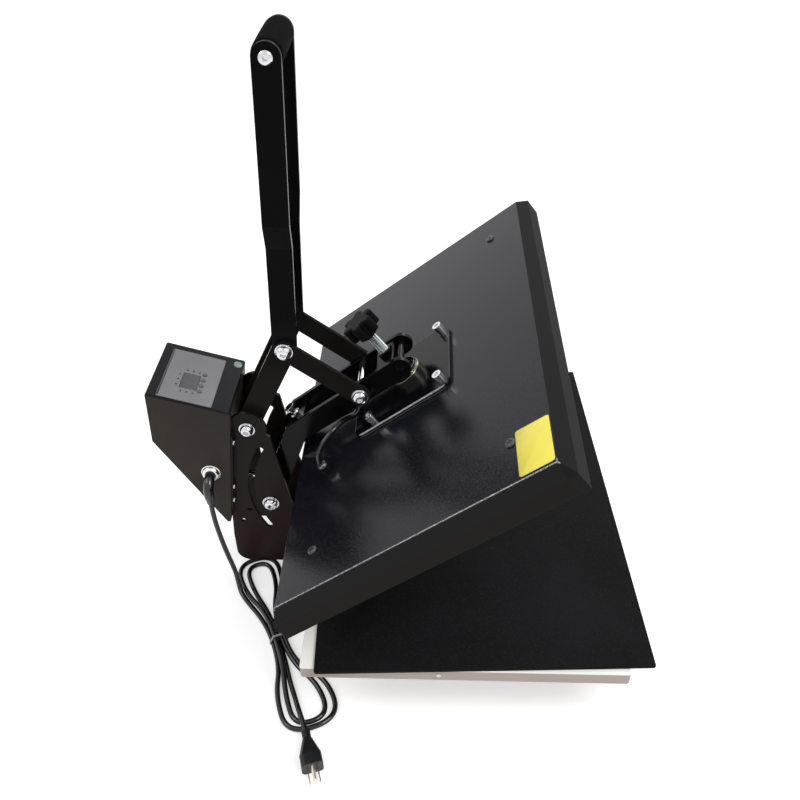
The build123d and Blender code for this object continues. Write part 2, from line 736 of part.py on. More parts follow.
cup_radius = 23.5
cup_rim_radius = 20.5
cup_height = 11.0
cup_rim_height = 4.5
cup_top = mount_plate_thick + cup_height
cup = drum(cup_radius, mount_plate_thick, cup_top)
cup = chamfer(cup.edges().sort_by(Axis.Z)[-1], 1.5)
cup += drum(cup_rim_radius, cup_top, cup_top + cup_rim_height)
cup -= drum(cup_rim_radius - 3.0, cup_top + 1.0, cup_top + cup_rim_height + 1)
cup -= drum(screw_radius + 0.4, screw_bottom - side_gap, cup_top + 5)
write(to_platen(cup), "thrust_cup")

gland = extrude(RegularPolygon(8.5, 6), amount=6)
gland += Pos(0, 0, 6) * Cylinder(6.8, 8, align=BASE_END)
gland += Pos(0, 0, -cover_sheet - 3) * Cylinder(gland_thread, cover_sheet + 3, align=BASE_END)
gland -= Cylinder(lead_radius + 0.35, 60)
write(to_platen(Pos(gland_place[0], -gland_place[1], 0) * gland), "platen_cable_gland")

# Pressure screw and its star knob

screw = drum(screw_radius, screw_bottom, screw_top)
screw = chamfer(screw.edges().sort_by(Axis.Z)[0], 1.5)
write(to_platen(screw), "pressure_screw")
knob_low = screw_top - 4.0
lobes = 6
lobe_radius = 6.5
knob_face = Circle(knob_radius - lobe_radius)
for i in range(lobes):
    knob_face += Rot(0, 0, 360 / lobes * i) * Pos(knob_radius - lobe_radius, 0) * Circle(lobe_radius)
knob = extrude(Plane.XY.offset(knob_low) * knob_face, amount=knob_height)
knob = fillet(knob.faces().sort_by(Axis.Z)[-1].edges(), 2.5)
knob += drum(11.0, knob_low - 7.0, knob_low)
knob -= drum(screw_radius, 0, screw_top)
write(to_platen(knob), "pressure_knob")

# Control box: folded shell, side cover, label, display and keys

panel_run = math.dist(box_corners[0], box_corners[1])
panel_unit = [(b - a) / panel_run for a, b in zip(box_corners[0], box_corners[1])]
panel_plane = Plane(
    origin=spot(0, *box_corners[0]), x_dir=(1, 0, 0), z_dir=(0, panel_unit[1], panel_unit[0])
)
box_half = box_width / 2
cover_inner = box_half - box_sheet
box_outline = rounded_face([(*corner, 3.0) for corner in box_corners])
box_inside = offset(box_outline, -box_sheet)
lip_width = 10.0


def to_panel(shape):
    """Moves a shape drawn flat onto the control panel."""
    return panel_plane.location * shape


display_span = ((-31.0, 1.0), (38.0, 61.0))
display_margin = 0.5
key_height = 1.0
key_travel = 0.8
key_depth = 4.0
key_flange = 4.2
cover_screw_places = [(-203.5, 222.0), (-111.5, 194.5), (-131.5, 12.0), (-206.5, 154.0)]
rocker_place = (-178.0, 190.0)
switch_body = (18.0, 28.0)
switch_flange = (22.0, 32.0)
switch_depth = 20.0
board_depth_below = 12.0
inlet_thread = 7.0

shell = slab(box_outline, -box_half, cover_inner) - slab(box_inside, -cover_inner, cover_inner + 1)
shell += slab(box_inside - offset(box_inside, -lip_width), cover_inner - box_sheet, cover_inner)
for x in button_offsets:
    shell -= to_panel(drum(button_radius + run_clearance, -5, 5, x, button_along))
display_cut = slab_box(*display_span, (-5, 5))
shell -= to_panel(display_cut)
shell -= rod(inlet_thread, -box_half - 2, -box_half + 3, inlet_place)
for side in (-1, 1):
    for down in flange_screw_downs:
        shell -= wall_hole(side * flange_screw_x, down)
for place in cover_screw_places:
    shell -= rod(small_hole, cover_inner - 5, cover_inner + 5, place)
shell -= grommet_plane.location * Cylinder(5.5, 12)
write(shell, "box_shell")

cover = slab(box_outline, cover_inner, box_half)
for place in cover_screw_places:
    cover -= rod(small_hole, cover_inner - 5, box_half + 5, place)
switch_place = Pos(*spot(box_half, *rocker_place))
cover -= switch_place * Box(12, *switch_body)
write(cover, "box_cover")
box_screws = []
for place in cover_screw_places:
    head = button_head(1, box_half, place, radius=3.6, height=2.4, socket=1.2)
    box_screws.append(head + rod(small_shank, cover_inner - 4, box_half, place))
write(Compound(children=box_screws + flange_screws), "box_screws")

label_x = (-57.0, -57.0 + label_size[1])
label_along = (14.0, 14.0 + label_size[0])
label = slab_box(label_x, label_along, (0, label_thick))
label = fillet(label.edges().filter_by(Axis.Z), 2.0)
label -= slab_box(*display_span, (-5, 5))
for x in button_offsets:
    label -= drum(button_radius + run_clearance, -5, 5, x, button_along)
write(to_panel(label), "panel_label")
window_spans = [(a + display_margin, b - display_margin) for a, b in display_span]
window_low = -0.6
window = slab_box(*window_spans, (window_low, label_thick - 0.1))
write(to_panel(window), "display_window")

circuit_thick = 1.6
circuit_half = 48.0
circuit_span = (12.0, 92.0)
post_inset = 4.0
post_radius = 2.5
tact_half = 3.0
plunger_radius = 1.6
plunger_height = 1.0
circuit_heights = (-board_depth_below - circuit_thick, -board_depth_below)
circuit = slab_box((-circuit_half, circuit_half), circuit_span, circuit_heights)
circuit += slab_box(*window_spans, (-board_depth_below, window_low))
for x in (post_inset - circuit_half, circuit_half - post_inset):
    for along in (circuit_span[0] + post_inset, circuit_span[1] - post_inset):
        circuit += drum(post_radius, -board_depth_below, -box_sheet, x, along)
plunger_top = -key_depth - key_travel - run_clearance
for x in button_offsets:
    body_span = (x - tact_half, x + tact_half)
    body_along = (button_along - tact_half, button_along + tact_half)
    circuit += slab_box(body_span, body_along, (-board_depth_below, plunger_top - plunger_height))
    circuit += drum(plunger_radius, plunger_top - plunger_height, plunger_top, x, button_along)
write(to_panel(circuit), "control_board")

for i, x in enumerate(button_offsets):
    key = drum(button_radius, -key_depth, label_thick + key_height, x, button_along)
    key = fillet(key.edges().sort_by(Axis.Z)[-1], 0.6)
    key += drum(key_flange, -key_depth, -box_sheet - run_clearance, x, button_along)
    write(to_panel(key), f"panel_key_{i + 1}")


def on_cover(forward_span, up_span, depth):
    """A part fixed to the inside of the box's cover."""
    size = (depth, forward_span[1] - forward_span[0], up_span[1] - up_span[0])
    centre = spot(cover_inner - depth / 2, sum(forward_span) / 2, sum(up_span) / 2)
    return Pos(*centre) * Box(*size)


core_span = ((-166.0, -131.0), (92.0, 124.0))
core_depth = 30.0
coil_size = (36.0, 24.0, 22.0)
core = on_cover(*core_span, core_depth)
coil_place = spot(cover_inner - coil_size[0] / 2, *[sum(span) / 2 for span in core_span])
coil = Pos(*coil_place) * Box(*coil_size)
write(fillet((core + coil).edges().filter_by(Axis.X), 1.0), "transformer")
relay = chamfer(on_cover((-190, -165), (142, 162), 18).edges(), 0.8)
terminal_depth = 14.0
terminal = on_cover((-147, -133), (55, 80), terminal_depth)
terminal_pitch = 6.0
for i in range(4):
    way = (-140, 58.5 + terminal_pitch * i)
    terminal -= rod(1.6, cover_inner - terminal_depth - 1, cover_inner - terminal_depth / 2, way)
write(Compound(children=[relay, terminal]), "relay_and_terminals")

# Rocker switch in the cover, tilted to off

rocker_axis_x = 54.0
rocker_radius = 12.5
rocker_thick = 13.0
rocker_swing = 14.0
rocker_crown = 6.2
rocker_pin = 1.5
frame = switch_place * Pos(-switch_depth / 2, 0, 0) * Box(switch_depth, *[s - 0.2 for s in switch_body])
frame += switch_place * Pos(1, 0, 0) * Box(2, *switch_flange)
axle = Location(spot(rocker_axis_x, *rocker_place), (90, 0, 0))
well = axle * Cylinder(rocker_radius + 0.15, rocker_thick + 0.3)
well &= Pos(*spot(rocker_axis_x + 16, *rocker_place)) * Box(42, 40, 40)
frame -= well
frame -= axle * Cylinder(rocker_pin + run_clearance, rocker_thick + 3)
write(frame, "switch_frame")
crown = Polyline(
    (-3, -14), (rocker_crown - 1.8, -14), (rocker_crown, 0), (rocker_crown - 1.8, 14), (-3, 14), close=True
)
rocker = extrude(Plane.XZ * make_face(crown), amount=rocker_thick / 2, both=True)
rocker &= Rot(90, 0, 0) * Cylinder(rocker_radius, rocker_thick)
rocker += Rot(90, 0, 0) * Cylinder(rocker_pin, rocker_thick + 2.4)
rocker = Pos(*spot(rocker_axis_x, *rocker_place)) * Rot(0, rocker_swing / 2, 0) * rocker
write(rocker, "rocker")

# Strain relief: a gland in the box's side, with a boot that turns down

boot_turn = 18.0
boot_x = -(box_half + 8.0 + boot_turn)
boot_radii = (7.0, 4.6)
boot_end = (-143.0, 62.0)
relief = rod(inlet_radius, -box_half - 5, -box_half, inlet_place)
relief += rod(inlet_thread - 0.1, -box_half, -cover_inner + 9, inlet_place)
elbow_start = spot(-box_half - 5, *inlet_place)
elbow_drop = 20.0
elbow_end = (inlet_place[0], inlet_place[1] - elbow_drop)
elbow_route = [elbow_start, spot(boot_x, *inlet_place), spot(boot_x, *elbow_end)]
relief += tube(elbow_route, boot_radii[0], boot_turn)
boot_taper = Cone(boot_radii[1], boot_radii[0], elbow_end[1] - boot_end[1], align=BASE_END)
relief += Pos(*spot(boot_x, *boot_end)) * boot_taper
relief_nut = Plane.YZ.offset(-cover_inner) * Pos(*spot(0, *inlet_place)[1:]) * RegularPolygon(11.0, 6)
relief_nut_height = 4.5
relief_nut = extrude(relief_nut, amount=relief_nut_height)
nut_cut_end = -cover_inner + relief_nut_height + cut_over
relief_nut -= rod(inlet_thread, -cover_inner - cut_over, nut_cut_end, inlet_place)
write(Compound(children=[relief, relief_nut, lead_grommet]), "cable_reliefs")

# Power cord: down from the boot to the bench, and into a tied hank

hank_tie = (-49.5, -190.0)
hank_dir = (0.385, -0.923)
hank_side = (0.923, 0.385)
lie_height = cord_radius + 0.1
tie_thick = 0.8
tie_width = 3.0
waist_low = lie_height + tie_thick + 0.2
waist_high = waist_low + 7.4
waist_step = 4.3
waist_half = 14.0
over_height = lie_height + 2 * cord_radius + 0.8


def in_hank(s, t, z):
    """A place in the hank: s towards its lower end, t across it, z above the floor."""
    forward = hank_tie[0] + s * hank_dir[0] + t * hank_side[0]
    across = hank_tie[1] + s * hank_dir[1] + t * hank_side[1]
    return Vector(across, middle - forward, z)


def to_hank(s, t, z):
    """A direction in the hank, in the part's frame."""
    return in_hank(s, t, z) - in_hank(0, 0, 0)


def s_bend(start, end, way):
    """Two equal arcs that shift a strand sideways and keep its heading."""
    halfway = (start + end) * 0.5
    first = TangentArc(start, halfway, tangent=to_hank(way, 0, 0).normalized())
    return [first, TangentArc(halfway, end, tangent=first % 1)]


def half_turn(start, end, way):
    """A half circle between two places side by side."""
    reach = (end - start).length / 2
    return ThreePointArc(start, (start + end) * 0.5 + to_hank(way * reach, 0, 0), end)


# Each pass through the tie: place across and height, in the cord's order
waist = [
    (-2 * waist_step, waist_low),
    (2 * waist_step, waist_low),
    (-waist_step, waist_high),
    (waist_step, waist_high),
    (0.0, waist_low),
]
turn_low = [(-26.0, 44.0, 108.0), (-14.0, 31.0, 112.0)]
turn_high = [(33.0, -24.5, -128.0), (22.5, -12.5, -128.0)]
enter = in_hank(-78.0, -30.5, lie_height)

strands = []
at = enter
for turn in range(2):
    down, up = waist[2 * turn], waist[2 * turn + 1]
    start = in_hank(-waist_half, *down)
    strands += s_bend(at, start, 1)
    strands.append(Line(start, in_hank(waist_half, *down)))
    left, right, s = turn_low[turn]
    strands += s_bend(in_hank(waist_half, *down), in_hank(s, left, lie_height), 1)
    strands.append(half_turn(in_hank(s, left, lie_height), in_hank(s, right, lie_height), 1))
    strands += s_bend(in_hank(s, right, lie_height), in_hank(waist_half, *up), -1)
    strands.append(Line(in_hank(waist_half, *up), in_hank(-waist_half, *up)))
    right, left, s = turn_high[turn]
    strands += s_bend(in_hank(-waist_half, *up), in_hank(s, right, lie_height), -1)
    strands.append(half_turn(in_hank(s, right, lie_height), in_hank(s, left, lie_height), -1))
    at = in_hank(s, left, lie_height)
strands += s_bend(at, in_hank(-waist_half, *waist[4]), 1)
tail_start = in_hank(waist_half, *waist[4])
strands.append(Line(in_hank(-waist_half, *waist[4]), tail_start))
tail_low = in_hank(88.0, -3.0, lie_height)
tail_over = in_hank(124.0, -4.0, over_height)
tail_end = in_hank(150.0, -4.0, over_height)
tail = s_bend(tail_start, tail_low, 1) + s_bend(tail_low, tail_over, 1) + [Line(tail_over, tail_end)]


def sweep_strands(lines, radius):
    """One round tube along a chain of lines and arcs."""
    path = Wire(lines)
    section = Plane(origin=lines[0] @ 0, z_dir=lines[0] % 0) * Circle(radius)
    shape = sweep(section, path=path)
    wanted = math.pi * radius**2 * path.length
    print(f"strand length {path.length:.0f}, volume over section times length {shape.volume / wanted:.4f}")
    return shape


def least_gap(lines, radius, step=2.0, skip=9.0):
    """The smallest space between two passes of one cord."""
    places = []
    run = 0.0
    for line in lines:
        count = max(2, round(line.length / step))
        places += [(run + line.length * i / count, line @ (i / count)) for i in range(count)]
        run += line.length
    least = math.inf
    for i, (run_a, a) in enumerate(places):
        for run_b, b in places[i + 1 :]:
            if run_b - run_a > skip * radius:
                least = min(least, (a - b).length)
    return least - 2 * radius


write(sweep_strands(strands + tail, cord_radius), "cord_hank")

cord_route = [
    Vector(boot_x, middle + 143.0, 162.0),
    Vector(boot_x, middle + 143.0, 138.0),
    Vector(-84.9, middle + 139.5, 102.0),
    Vector(-86.6, middle + 133.2, 64.0),
    Vector(-89.0, middle + 125.2, 30.0),
    in_hank(-112.7, -30.5, 13.3),
    in_hank(-96.0, -30.5, lie_height),
    enter,
]
cord_radii = bend_radii(cord_route)
print("cord radii", [round(r) for r in cord_radii])
write(tube(cord_route, cord_radius), "power_cord")
cord_path = FilletPolyline(*cord_route, radius=cord_radii)
cord_lines = list(cord_path.edges()) + strands + tail
print(f"least gap of the cord to itself {least_gap(cord_lines, cord_radius):.2f} mm")
print(f"cord length {sum(line.length for line in cord_lines):.0f} mm")

tie_rings = [Pos(t, z) * CenterArc((0, 0), cord_radius + 0.1, 0, 360) for t, z in waist]
inner_tie = make_hull(tie_rings)
tie_face = offset(inner_tie, tie_thick) - inner_tie
tie_plane = Plane(
    origin=in_hank(-tie_width / 2, 0, 0), x_dir=to_hank(0, 1, 0), z_dir=to_hank(1, 0, 0)
)
write(tie_plane.location * extrude(tie_face, amount=tie_width), "cord_tie")

# Plug: ribbed neck, tapered body, two blades and a round ground pin

plug_turn = 6.0
neck_length = 12.0
neck_radius = 5.6
rib_count = 3
body_taper = 23.0
body_length = 15.0
plug_face_size = (27.0, 22.0)
plug_neck_size = (13.0, 12.0)
blade_length = 17.5
blade_size = (1.6, 6.4)
blade_spacing = 12.7
pin_radius = 2.4
pin_length = 20.0
pin_offset = 6.0
plug_plane = Plane(origin=tail_end, x_dir=to_hank(0, 1, 0), z_dir=to_hank(1, 0, 0))
plug_place = plug_plane.location * Rot(0, -plug_turn, 0) * Pos(0, 0, 0.4)
neck = Cylinder(neck_radius, neck_length, align=BASE_END)
for i in range(rib_count):
    groove = Cylinder(neck_radius + 1, 1.4) - Cylinder(neck_radius - 1.2, 1.4)
    neck -= Pos(0, 0, neck_length * (i + 0.7) / rib_count) * groove
taper = loft([
    Plane.XY.offset(neck_length) * RectangleRounded(*plug_neck_size, 5.0),
    Plane.XY.offset(neck_length + body_taper) * RectangleRounded(*plug_face_size, 5.0),
])
body = Plane.XY.offset(neck_length + body_taper) * RectangleRounded(*plug_face_size, 5.0)
body = extrude(body, amount=body_length)
body = fillet(body.faces().sort_by(Axis.Z)[-1].edges(), 1.0)
plug_end = neck_length + body_taper + body_length
plug = neck + taper + body
prong_root = 8.0
pin_shape = Cylinder(pin_radius, pin_length + prong_root, align=BASE_END)
pin_shape = fillet(pin_shape.edges().sort_by(Axis.Z)[-1], 1.6)
prongs = [Pos(0, pin_offset, plug_end - prong_root) * pin_shape]
for side in (-1, 1):
    blade = Box(*blade_size, blade_length + prong_root, align=BASE_END)
    blade = chamfer(blade.faces().sort_by(Axis.Z)[-1].edges().filter_by(Axis.Y), 0.6)
    prongs.append(Pos(side * blade_spacing / 2, -pin_offset, plug_end - prong_root) * blade)
for prong in prongs:
    plug -= prong
write(plug_place * plug, "plug_body")
write(plug_place * Compound(children=prongs), "plug_prongs")
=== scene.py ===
import math

import bpy
import mathutils
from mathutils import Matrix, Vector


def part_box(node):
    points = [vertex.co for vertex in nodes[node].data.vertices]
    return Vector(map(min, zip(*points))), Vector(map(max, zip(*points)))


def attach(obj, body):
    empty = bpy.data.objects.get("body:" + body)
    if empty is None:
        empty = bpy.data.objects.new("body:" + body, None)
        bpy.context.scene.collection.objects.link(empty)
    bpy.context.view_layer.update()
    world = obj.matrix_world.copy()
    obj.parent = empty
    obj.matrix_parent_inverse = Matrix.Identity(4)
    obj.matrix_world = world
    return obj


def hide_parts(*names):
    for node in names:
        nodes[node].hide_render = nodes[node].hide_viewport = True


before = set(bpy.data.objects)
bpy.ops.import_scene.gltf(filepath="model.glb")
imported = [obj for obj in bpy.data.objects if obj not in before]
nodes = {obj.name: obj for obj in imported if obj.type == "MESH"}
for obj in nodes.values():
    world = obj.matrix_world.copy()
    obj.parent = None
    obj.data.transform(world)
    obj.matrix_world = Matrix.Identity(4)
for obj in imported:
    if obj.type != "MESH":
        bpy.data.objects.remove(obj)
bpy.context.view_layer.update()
bpy.ops.object.select_all(action="DESELECT")

# Camera. It stands to the press's left and above it, and looks across the
# press and slightly towards the back, as the photograph does.

camera_place = (-0.9313, -0.0482, 1.0058)
camera_heading = math.radians(2.57)
camera_pitch = math.radians(37.95)
camera_roll = math.radians(-0.98)
camera_lens = 39.388
camera_film = 36.0
camera_reach = 20.0

bpy.ops.object.camera_add(location=camera_place)
camera = bpy.context.object
swing = mathutils.Matrix.Rotation(camera_heading - math.pi / 2, 3, "Z")
dip = mathutils.Matrix.Rotation(math.pi / 2 - camera_pitch, 3, "X")
lean = mathutils.Matrix.Rotation(camera_roll, 3, "Z")
camera.rotation_euler = (swing @ dip @ lean).to_euler()
camera.data.lens = camera_lens
camera.data.sensor_width = camera_film
camera.data.clip_end = camera_reach
bpy.context.scene.camera = camera

# Mains cord. One black rubber flex leaves the boot on the box's left side,
# drops to the bench, and is folded into a tied hank with the plug beside it.

board_rear = 0.1082
cord_radius = 0.0035
drop = [
    (-0.084, 0.143, 0.162),
    (-0.084, 0.143, 0.138),
    (-0.0849, 0.1395, 0.102),
    (-0.0866, 0.1332, 0.064),
    (-0.089, 0.1252, 0.030),
]
drop = [(x, board_rear + behind, z) for x, behind, z in drop]
tie_place = (-0.190, board_rear + 0.0495)
hank_along = (-0.923, -0.385)
hank_across = (0.385, -0.923)
lie_height = 0.0036
over_height = 0.0114
waist_low = 0.0046
waist_high = 0.0120
waist_step = 0.0043
waist_half = 0.014
waist = [
    (-2 * waist_step, waist_low),
    (2 * waist_step, waist_low),
    (-waist_step, waist_high),
    (waist_step, waist_high),
    (0.0, waist_low),
]
entry_side = -0.0305
entry_points = [(-0.1127, 0.0133), (-0.096, lie_height)]
entry_end = -0.078
lower_turns = [(-0.026, 0.044, 0.108), (-0.014, 0.031, 0.112)]
upper_turns = [(0.033, -0.0245, -0.128), (0.0225, -0.0125, -0.128)]
tail_start = (0.088, -0.003)
tail_over = (0.124, -0.004)
tail_end = (0.150, -0.004)


def in_hank(s, t, z):
    """A place in the hank: s towards its lower end, t across it."""
    x = tie_place[0] + s * hank_along[0] + t * hank_across[0]
    y = tie_place[1] + s * hank_along[1] + t * hank_across[1]
    return (x, y, z)


def bend_corners(s_start, t_start, z_start, s_end, t_end, z_end):
    """The two corners of a strand that shifts sideways and keeps its heading."""
    run = s_end - s_start
    shift = math.hypot(t_end - t_start, z_end - z_start)
    lead = (run * run + shift * shift) / (4 * run)
    return [
        in_hank(s_start + lead, t_start, z_start),
        in_hank(s_end - lead, t_end, z_end),
    ]


route = drop + [in_hank(s, entry_side, z) for s, z in entry_points]
s, t = entry_end, entry_side
for lap in range(2):
    down, up = waist[2 * lap], waist[2 * lap + 1]
    entry = bend_corners(s, t, lie_height, -waist_half, *down)
    route += entry if lap else entry[1:]
    left, right, low = lower_turns[lap]
    reach = (right - left) / 2
    route += bend_corners(waist_half, *down, low, left, lie_height)
    route += [in_hank(low + reach, side, lie_height) for side in (left, right)]
    route += bend_corners(low, right, lie_height, waist_half, *up)
    right, left, high = upper_turns[lap]
    reach = (right - left) / 2
    route += bend_corners(-waist_half, *up, high, right, lie_height)
    route += [in_hank(high - reach, side, lie_height) for side in (right, left)]
    s, t = high, left
route += bend_corners(s, t, lie_height, -waist_half, *waist[-1])
route += bend_corners(waist_half, *waist[-1], *tail_start, lie_height)
route += bend_corners(*tail_start, lie_height, *tail_over, over_height)
route += [in_hank(*tail_end, over_height)]

cord_curve = bpy.data.curves.new("power_flex", "CURVE")
cord_curve.dimensions = "3D"
cord_curve.bevel_depth = cord_radius
cord_curve.bevel_resolution = 5
cord_curve.resolution_u = 10
cord_curve.use_fill_caps = True
line = cord_curve.splines.new("NURBS")
line.points.add(len(route) - 1)
for point, place in zip(line.points, route):
    point.co = (*place, 1.0)
line.order_u = 3
line.use_endpoint_u = True
power_flex = bpy.data.objects.new("power_flex", cord_curve)
bpy.context.scene.collection.objects.link(power_flex)

blotch_span = (0.3, 0.75)
blotch_detail = 6.0
fine_detail = 3.0
speck_span = (0.5, 0.75)
rough_shares = (0.8, 1.2)
rough_least = 0.02
patch_span = (0.38, 0.6)
patch_least = 0.25
corner_span = (0.99, 0.93)
bump_depth = 0.0004
mix_sockets = {"RGBA": (6, 7, 2), "FLOAT": (2, 3, 0)}


def near(place, reach):
    """The region of the press within reach of a place."""
    return ("near", place, reach)


def past(direction, start, end, origin=(0.0, 0.0, 0.0)):
    """The region of the press past an origin along a direction, which sets in
    between two distances."""
    level = sum(a * b for a, b in zip(direction, origin))
    return ("past", direction, (start + level, end + level))


def set_node(tree, kind, **values):
    """A new shader node, with the given settings or input values."""
    node = tree.nodes.new(kind)
    for name, value in values.items():
        if hasattr(node, name):
            setattr(node, name, value)
        else:
            node.inputs[name.replace("_", " ")].default_value = value
    return node


def feed(tree, value, socket):
    """Give an input another node's output, or a constant."""
    if isinstance(value, bpy.types.NodeSocket):
        tree.links.new(value, socket)
    else:
        socket.default_value = value


def noise_of(tree, where, scale, detail):
    """Noise by place, from 0 to 1."""
    noise = set_node(tree, "ShaderNodeTexNoise", Scale=scale, Detail=detail)
    tree.links.new(where, noise.inputs["Vector"])
    return noise.outputs["Fac"]


def spread(tree, value, span, low=0.0, high=1.0):
    """A value that goes from low to high over a span of another."""
    node = set_node(tree, "ShaderNodeMapRange", From_Min=span[0], From_Max=span[1])
    tree.links.new(value, node.inputs["Value"])
    feed(tree, low, node.inputs["To Min"])
    feed(tree, high, node.inputs["To Max"])
    return node.outputs["Result"]


def region_mask(tree, where, region):
    """1 inside a region of the press and 0 outside it, by place."""
    kind, place, size = region
    if kind == "near":
        gap = set_node(tree, "ShaderNodeVectorMath", operation="DISTANCE")
        gap.inputs[1].default_value = place
        tree.links.new(where, gap.inputs[0])
        test = set_node(tree, "ShaderNodeMath", operation="LESS_THAN")
        test.inputs[1].default_value = size
        tree.links.new(gap.outputs["Value"], test.inputs[0])
        return test.outputs[0]
    level = set_node(tree, "ShaderNodeVectorMath", operation="DOT_PRODUCT")
    level.inputs[1].default_value = place
    tree.links.new(where, level.inputs[0])
    return spread(tree, level.outputs["Value"], size)


def mix_of(tree, kind, mask, first, second):
    """A mix of two sockets or constants by a mask."""
    mix = tree.nodes.new("ShaderNodeMix")
    mix.data_type = kind
    first_input, second_input, result = mix_sockets[kind]
    tree.links.new(mask, mix.inputs[0])
    feed(tree, first, mix.inputs[first_input])
    feed(tree, second, mix.inputs[second_input])
    return mix.outputs[result]


def finish_of(
    name,
    colour,
    roughness,
    metallic=0.0,
    mottle=0.12,
    mottle_scale=14.0,
    grain=0.15,
    grain_scale=900.0,
    shine=0.5,
    edge=0.0006,
    wear_and_highlight=None,
    regions=(),
    specks_and_glints=None,
):
    """A finish: blotched colour, fine grain with specks of a colour by an
    amount, which are painted glints on the platen, softened edges, edges worn
    or given a painted highlight in patches to a colour by an amount and perhaps
    in one region, and other finishes for regions, each as its region, colour,
    roughness and metallic."""
    material = bpy.data.materials.new(name)
    material.use_nodes = True
    tree = material.node_tree
    shader = tree.nodes["Principled BSDF"]
    where = tree.nodes.new("ShaderNodeTexCoord").outputs["Object"]
    blotch = noise_of(tree, where, mottle_scale, blotch_detail)
    fine = noise_of(tree, where, grain_scale, fine_detail)
    ramp = tree.nodes.new("ShaderNodeValToRGB")
    tree.links.new(blotch, ramp.inputs["Fac"])
    stops = ramp.color_ramp.elements
    for number, light in enumerate((1 - mottle, 1 + mottle)):
        stops[number].position = blotch_span[number]
        stops[number].color = (*[min(1, c * light) for c in colour], 1)
    shade = ramp.outputs["Color"]
    if specks_and_glints:
        speck_colour, speck_amount = specks_and_glints
        specks = spread(tree, fine, speck_span, high=speck_amount)
        shade = mix_of(tree, "RGBA", specks, shade, (*speck_colour, 1))
    smoothest = max(rough_least, roughness * rough_shares[0])
    roughest = min(1.0, roughness * rough_shares[1])
    rough = spread(tree, blotch, (0.0, 1.0), smoothest, roughest)
    metal = metallic
    for region, other_colour, other_roughness, other_metallic in regions:
        mask = region_mask(tree, where, region)
        shade = mix_of(tree, "RGBA", mask, shade, (*other_colour, 1))
        rough = mix_of(tree, "FLOAT", mask, rough, other_roughness)
        if other_metallic != metallic:
            metal = mix_of(tree, "FLOAT", mask, metal, other_metallic)
    round_edge = set_node(tree, "ShaderNodeBevel", Radius=edge)
    # The edge mark is real wear on the frame, box, arms and handle, and a painted
    # highlight on the platen's near top edge, the mount plate's near edge and the cup's
    # edges.
    if wear_and_highlight:
        wear_and_highlight_colour, wear_and_highlight_amount, *wear_and_highlight_regions = wear_and_highlight
        faces = tree.nodes.new("ShaderNodeNewGeometry")
        turned = set_node(tree, "ShaderNodeVectorMath", operation="DOT_PRODUCT")
        tree.links.new(round_edge.outputs["Normal"], turned.inputs[0])
        tree.links.new(faces.outputs["True Normal"], turned.inputs[1])
        patches = spread(tree, fine, patch_span, patch_least * wear_and_highlight_amount, wear_and_highlight_amount)
        edge_wear_and_highlight = spread(tree, turned.outputs["Value"], corner_span, high=patches)
        for region in wear_and_highlight_regions:
            only = set_node(tree, "ShaderNodeMath", operation="MULTIPLY")
            tree.links.new(edge_wear_and_highlight, only.inputs[0])
            tree.links.new(region_mask(tree, where, region), only.inputs[1])
            edge_wear_and_highlight = only.outputs[0]
        shade = mix_of(tree, "RGBA", edge_wear_and_highlight, shade, (*wear_and_highlight_colour, 1))
    feed(tree, shade, shader.inputs["Base Color"])
    feed(tree, rough, shader.inputs["Roughness"])
    feed(tree, metal, shader.inputs["Metallic"])
    feed(tree, shine, shader.inputs["Specular IOR Level"])
    bump = set_node(tree, "ShaderNodeBump", Strength=grain, Distance=bump_depth)
    tree.links.new(fine, bump.inputs["Height"])
    tree.links.new(round_edge.outputs["Normal"], bump.inputs["Normal"])
    tree.links.new(bump.outputs["Normal"], shader.inputs["Normal"])
    return material


def paint(piece, material):
    """Give a piece one material."""
    piece.data.materials.clear()
    piece.data.materials.append(material)


flex_rubber = finish_of(
    "flex_rubber", (0.005, 0.0045, 0.0045), 0.09, shine=0.55, grain=0.03
)
paint(power_flex, flex_rubber)
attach(power_flex, "base")
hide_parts("power_cord", "cord_hank")

# Plug, cord tie and strain relief. The plug and boot are moulded rubber, the
# blades are nickelled brass, and the relief's collar is bright steel.

to_right = (1, 0, 0)
relief_behind = 0.143
relief_height = 0.195
box_left = -0.058
collar_span = (-0.0632, -0.0631)
grommet_span = (-0.03, -0.02)
weld_gap = 0.00001
ring_crease = math.radians(50)
collar_sides = 48


def paint_nodes(material, *names):
    """Give CAD nodes one material."""
    for name in names:
        paint(nodes[name], material)


plug_rubber = finish_of(
    "plug_rubber", (0.007, 0.007, 0.008), 0.22, shine=0.4, grain=0.2, grain_scale=1600
)
nickel = finish_of("nickel", (0.75, 0.68, 0.58), 0.24, metallic=1.0, mottle=0.06)
tie_film = finish_of("tie_film", (0.35, 0.35, 0.36), 0.4)
collar_steel = (past(to_right, *collar_span), (0.8, 0.8, 0.8), 0.2, 1.0)
grommet_rubber = (past(to_right, *grommet_span), (0.012, 0.012, 0.013), 0.4, 0.0)
relief_finish = finish_of(
    "relief_finish",
    (0.008, 0.008, 0.01),
    0.2,
    shine=0.6,
    grain=0.05,
    regions=(collar_steel, grommet_rubber),
)
paint_nodes(plug_rubber, "plug_body")
paint_nodes(nickel, "plug_prongs")
paint_nodes(tie_film, "cord_tie")
paint_nodes(relief_finish, "cable_reliefs")


def place_of(place, axis, angle):
    """The place of a piece that is turned about one axis."""
    turn = mathutils.Matrix.Rotation(angle, 4, axis)
    return mathutils.Matrix.Translation(place) @ turn


